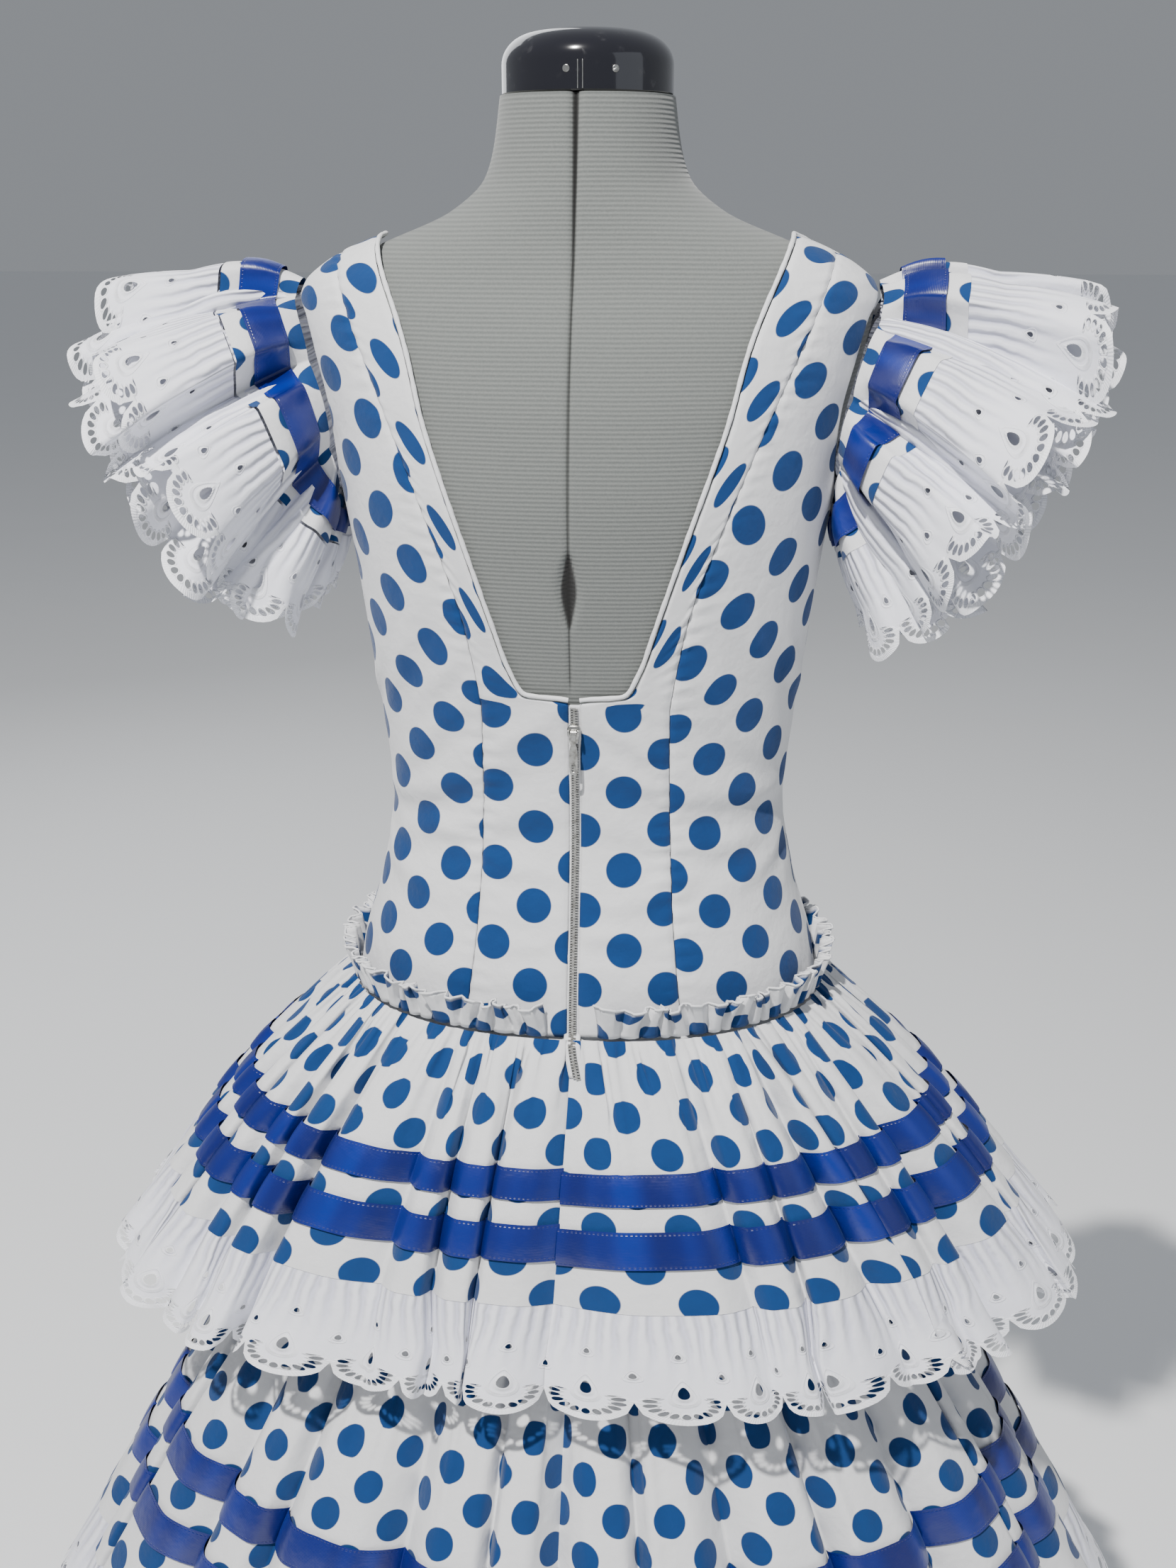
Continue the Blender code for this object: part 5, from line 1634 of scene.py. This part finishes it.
@dataclass
class Sleeve:
    """A dotted flounce with a wide ribbon and lace, over two under-ruffles of lace."""

    side: Side
    body: Body
    table: tuple
    under_table: tuple
    longer: float
    outer: Arm = Arm(19.0, 1.252, 0.0640, 0.0062, 1.0)
    under: Arm = Arm(17.3, 1.2528, 0.0610, 0.0062, 0.74)
    inner: Arm = Arm(15.8, 1.2534, 0.0575, 0.0064, 0.46)
    way_out: tuple = (0.66, 0.32)
    way_back: float = 0.62
    way_up: tuple = (-0.42, 0.50)
    reach: float = 0.114
    shoulder_reach: float = 0.010
    underarm_cut: float = 0.034
    fold: tuple = (0.0022, 0.0185)
    ribbon: tuple = (0.10, 0.30)
    flounce_end: float = 0.40
    scallop: float = 0.040
    scallop_depth: float = 0.0150
    per_scallop: int = 14
    wall: float = 0.0010
    lift: float = 0.0024
    turn_step: float = 0.05
    even_at: float = 0.085

    def way(self, turn: np.ndarray, spread: float) -> np.ndarray:
        """The way the cloth leaves the armhole: turn 0 at the shoulder, a quarter at the back."""
        up = np.cos(turn) * spread
        return unit(np.stack([self.way_out[0] + self.way_out[1] * up,
                              self.way_back * np.sin(turn) * spread,
                              self.way_up[0] + self.way_up[1] * up], axis=-1))

    def distance(self, turn: np.ndarray) -> np.ndarray:
        """How long the sleeve is, shortest under the arm."""
        up = np.cos(turn)
        return self.reach + self.shoulder_reach * up - self.underarm_cut * np.maximum(0, -up) ** 3

    def root(self, arm: Arm, turn: np.ndarray) -> np.ndarray:
        """Points of the armhole's ring."""
        angle = math.radians(arm.angle) * np.sin(turn)
        return self.body.point(angle, arm.z + arm.rise * np.cos(turn), arm.lift)

    def place(self, arm: Arm, folds: Folds, share: np.ndarray, run: np.ndarray,
              out: np.ndarray, deep: float) -> np.ndarray:
        """Points of a layer.

        Args:
            arm: its armhole.
            folds: its folds.
            share: how far round from under the arm, by the front.
            run: how far from the armhole, in metres.
            out: how far off the surface.
            deep: a factor on its folds.

        Returns:
            The points, on the wearer's left.
        """
        t = np.clip(run / self.reach, 0, 1.2)
        ripple, _, side, lean = folds.at(share)
        pinch = 0.0062 * np.sin(math.pi * np.clip(t / 0.62, 0, 1))
        depth = deep * (self.fold[0] + (self.fold[1] - self.fold[0]) * t ** 1.15 + pinch)
        swing = side * np.clip(t / 0.12, 0, 1) + lean * t * 0.8
        turn = -math.pi + TAU * (share + swing)
        way = self.way(turn, arm.spread)
        along = self.root(arm, turn + self.turn_step) - self.root(arm, turn - self.turn_step)
        outward = unit(np.cross(way, along))
        droop = -0.024 * t * t * (0.45 + 0.55 * np.cos(turn))
        points = self.root(arm, turn) + way * run[..., None]
        points = points + outward * (ripple * depth + out)[..., None]
        points[..., 2] += droop
        return points

    def columns(self, arm: Arm, folds: Folds, deep: float) -> tuple[np.ndarray, np.ndarray]:
        """Columns evenly spaced on the flat cloth: their shares round, and how far along."""
        fine = np.linspace(0, 1, 6001)
        run, out = np.full((1, 1), self.even_at), np.zeros((1, 1))
        line = self.place(arm, folds, fine[None], run, out, deep)
        run = run_lengths(line[0])
        count = round(run[-1] / self.scallop)
        even = np.linspace(0, run[-1], count * self.per_scallop + 1)
        along = np.linspace(0, count * self.scallop, even.size)
        return np.interp(even, run, fine)[None], along[None]

    def strip(self, maker: Maker, name: str, arm: Arm, folds: Folds, rows: np.ndarray,
              columns: tuple, out: np.ndarray, flat: tuple, slot: Slot, nodes: Sequence[str],
              deep: float) -> tuple[bpy.types.Object, float]:
        """A strip of a layer, from its rows' distances from the armhole, with its mean length."""
        share, along = columns
        points = self.place(arm, folds, share, rows + 0 * share, out + 0 * share, deep)
        down, third = flat
        along = along + 0 * rows
        place = np.stack([along, down + 0 * along, third + 0 * along], axis=-1)
        cloth = Cloth(points, place).mirrored(self.side)
        inside = (0.18 * self.side.value, 0.0, 1.25)
        long = float(np.mean([run_lengths(row)[-1] for row in points]))
        return maker.cloth(f"sleeve_{self.side.word}_{name}", cloth, slot, nodes, inside), long

    def lace(self, maker: Maker, name: str, arm: Arm, folds: Folds, start: float, longer: float,
             columns: tuple, nodes: Sequence[str], deep: float, rests_on: Sequence[str]) -> None:
        """A layer of lace that ends in scallops."""
        share, along = columns
        turn = -math.pi + TAU * share
        reach = self.distance(turn) + longer
        across = ((along / self.scallop) % 1.0 - 0.5) * 2
        arc = self.scallop_depth * np.sqrt(np.maximum(0.0, 1 - across ** 2))
        first = start * self.distance(turn)
        notch = reach + 0.007 - self.scallop_depth
        down = np.linspace(0, 1, 24)[:, None]
        rows = first + down * (notch + arc - first)
        wave = 0.0030 * np.sin(along / self.scallop * math.pi + 1.0) * down ** 2
        piece, long = self.strip(maker, name, arm, folds, rows, columns, self.wall * 0.5 + wave,
                                 (rows - notch, 0.0), Slot.LACE, nodes, deep)
        height = float(np.mean(notch - first)) + 0.8 * self.scallop_depth
        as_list(rests_on)

    def build(self, maker: Maker) -> None:
        """Adds the flounce, the ribbon and the three layers of lace."""
        word = self.side.word
        folds = Folds(self.table, 0.06, 2.7, 0.25)
        columns = self.columns(self.outer, folds, 1.0)
        share = columns[0]
        reach = self.distance(-math.pi + TAU * share) + self.longer
        t = np.linspace(0, self.flounce_end, 17)[:, None]
        piece, long = self.strip(maker, "gathers", self.outer, folds, t * reach, columns,
                                 np.full((1, 1), self.wall), (t * self.reach, 0.0), Slot.DOTTED,
                                 [f"sleeve_{word}_flounce"], 1.0)
        across = np.linspace(0, 1, 7)[:, None]
        t = self.ribbon[0] + (self.ribbon[1] - self.ribbon[0]) * across
        width = (self.ribbon[1] - self.ribbon[0]) * self.reach
        puff = self.wall + self.lift + 0.0007 * np.sin(math.pi * across)
        piece, long = self.strip(maker, "satin", self.outer, folds, t * reach, columns, puff,
                                 (across * width, across), Slot.SATIN, [f"sleeve_{word}_ribbon"],
                                 1.0)
        nodes = [f"sleeve_{word}_lace_back", f"sleeve_{word}_lace_front"]
        self.lace(maker, "outer_lace", self.outer, folds, self.flounce_end, self.longer, columns,
                  nodes, 1.0, [f"sleeve_{word}_gathers"])
        nodes = [f"sleeve_{word}_under_lace_back", f"sleeve_{word}_under_lace_front"]
        folds = Folds(self.under_table, 0.05, 2.4, 0.2)
        self.lace(maker, "middle_lace", self.under, folds, 0.0, 0.010,
                  self.columns(self.under, folds, 0.8), nodes, 0.8, [f"side_back_panel_{word}"])
        folds = Folds(self.under_table[5:] + self.under_table[:5], 0.05, 2.4, 0.2)
        self.lace(maker, "inner_lace", self.inner, folds, 0.0, 0.002,
                  self.columns(self.inner, folds, 0.8), [], 0.8, [f"side_back_panel_{word}"])


class Lamp(NamedTuple):
    """A square area light: where it is, what it faces, its side, power and colour."""

    name: str
    place: tuple
    aim: tuple
    size: float
    power: float
    colour: tuple


@dataclass
class Studio:
    """The camera at the photograph's place, a pale floor, a small high key and two soft lights."""

    eye: tuple = (-0.0915, 1.046, 1.36)
    pitch: float = 19.09
    lens: float = 37.9
    sensor: float = 36.0
    world: tuple = (0.80, 0.84, 0.90)
    world_strength: float = 0.33
    floor_half: float = 40.0
    lamps: tuple = (
        Lamp("key_light", (0.62, 1.90, 3.95), (0.0, 0.05, 0.95), 0.10, 240.0, (1.0, 0.98, 0.95)),
        Lamp("fill_light", (-2.6, 1.4, 1.9), (0.0, 0.0, 0.9), 2.2, 7.0, (0.86, 0.92, 1.0)),
        Lamp("rim_light", (1.4, -2.6, 2.4), (0.0, 0.0, 0.9), 2.0, 22.0, (0.95, 0.97, 1.0)),
    )

    def build(self, maker: Maker) -> None:
        """Adds the camera, the lights and the floor."""
        data = bpy.data.cameras.new("camera")
        data.lens = self.lens
        data.sensor_width = self.sensor
        data.sensor_fit = "AUTO"
        data.clip_start = 0.01
        camera = bpy.data.objects.new("camera", data)
        bpy.context.scene.collection.objects.link(camera)
        camera.location = self.eye
        level = Vector((-self.eye[0], -self.eye[1], 0.0)).normalized()
        pitch = math.radians(self.pitch)
        look = level * math.cos(pitch) - Vector((0, 0, math.sin(pitch)))
        camera.rotation_euler = look.to_track_quat("-Z", "Y").to_euler()
        bpy.context.scene.camera = camera
        for lamp in self.lamps:
            self.area(lamp)
        world = bpy.data.worlds.new("pale_world")
        world.use_nodes = True
        sky = world.node_tree.nodes["Background"]
        sky.inputs["Color"].default_value = (*self.world, 1.0)
        sky.inputs["Strength"].default_value = self.world_strength
        bpy.context.scene.world = world
        half = self.floor_half
        corners = np.array([(-half, -half, 0), (half, -half, 0), (half, half, 0), (-half, half, 0)])
        mesh = maker.mesh("floor", corners - (0, 0, 0.0005), np.array([[0, 1, 2, 3]]), smooth=False)
        floor = bpy.data.objects.new("floor", mesh)
        bpy.context.scene.collection.objects.link(floor)
        mesh.materials.append(Ground().make())

    def area(self, lamp: Lamp) -> None:
        """Adds an area light."""
        data = bpy.data.lights.new(lamp.name, "AREA")
        data.size = lamp.size
        data.energy = lamp.power
        data.color = lamp.colour
        light = bpy.data.objects.new(lamp.name, data)
        bpy.context.scene.collection.objects.link(light)
        light.location = lamp.place
        aim = Vector(lamp.aim) - Vector(lamp.place)
        light.rotation_euler = aim.to_track_quat("-Z", "Y").to_euler()


def main() -> None:
    """Builds the scene and reports each piece."""
    logging.basicConfig(level=logging.INFO, format="%(message)s")
    finishes = {
        Slot.JERSEY.value: Jersey().make(), Slot.GLOSS.value: Gloss().make(),
        Slot.STEEL.value: Metal().make(), Slot.DOTTED.value: Cotton("dotted_cotton").make(),
        Slot.WHITE.value: Cotton("white_cotton", dotted=False).make(),
        Slot.SATIN.value: Satin().make(), Slot.LACE.value: Lace().make(),
    }
    body = Body()
    maker = Maker(body, finishes)
    Studio().build(maker)
    DressForm().build(maker)
    Bodice().build(maker)
    Zip().build(maker)
    HipFrill().build(maker)
    waist = ("front_panel", "back_panel_left", "back_panel_right")
    tiers = (
        Tier("tier_1", Level(0.8657, 0.1593, 0.1171, 0.1124, 0.0022),
             Level(0.715, 0.293, 0.184, 0.196, 0.0110), Level(0.660, 0.332, 0.203, 0.220, 0.0130),
             (("upper_satin", 0.48, 0.60, ["tier_1_upper_ribbon"]),
              ("lower_satin", 0.69, 0.83, ["tier_1_lower_ribbon"])),
             TIER_1_FOLDS, 0.185, 14, 0.4, waist, placket=0.0014),
        Tier("tier_2", Level(0.700, 0.1852, 0.1347, 0.1307, 0.0030),
             Level(0.402, 0.368, 0.258, 0.268, 0.0140), Level(0.334, 0.404, 0.283, 0.294, 0.0150),
             (("upper_satin", 0.58, 0.66, ["tier_2_upper_ribbon"]),
              ("lower_satin", 0.74, 0.82, ["tier_2_lower_ribbon"])),
             TIER_2_FOLDS, 0.335, 13, 1.9, ("upper_underskirt",)),
        Tier("tier_3", Level(0.440, 0.2712, 0.1852, 0.1872, 0.0040),
             Level(0.142, 0.452, 0.345, 0.350, 0.0160), Level(0.075, 0.486, 0.375, 0.380, 0.0170),
             (("upper_satin", 0.58, 0.66, []), ("lower_satin", 0.74, 0.82, [])),
             TIER_3_FOLDS, 0.345, 12, 3.1, ("lower_underskirt",)),
    )
    for tier in tiers:
        tier.build(maker)
    BaseSkirt("upper_underskirt", "skirt_upper_base", Level(0.8654, 0.1551, 0.1129, 0.1082, 0),
              Level(0.6975, 0.1800, 0.1295, 0.1255, 0), 0.17, waist).build(maker)
    BaseSkirt("lower_underskirt", "skirt_lower_base", Level(0.6972, 0.1800, 0.1295, 0.1255, 0),
              Level(0.4375, 0.2655, 0.1795, 0.1815, 0), 0.27, ("upper_underskirt",)).build(maker)
    for side, table, longer in ((Side.LEFT, LEFT_SLEEVE_FOLDS, -0.004),
                                (Side.RIGHT, RIGHT_SLEEVE_FOLDS, 0.006)):
        Sleeve(side, body, table, UNDER_SLEEVE_FOLDS, longer).build(maker)


if __name__ == "__main__":
    main()
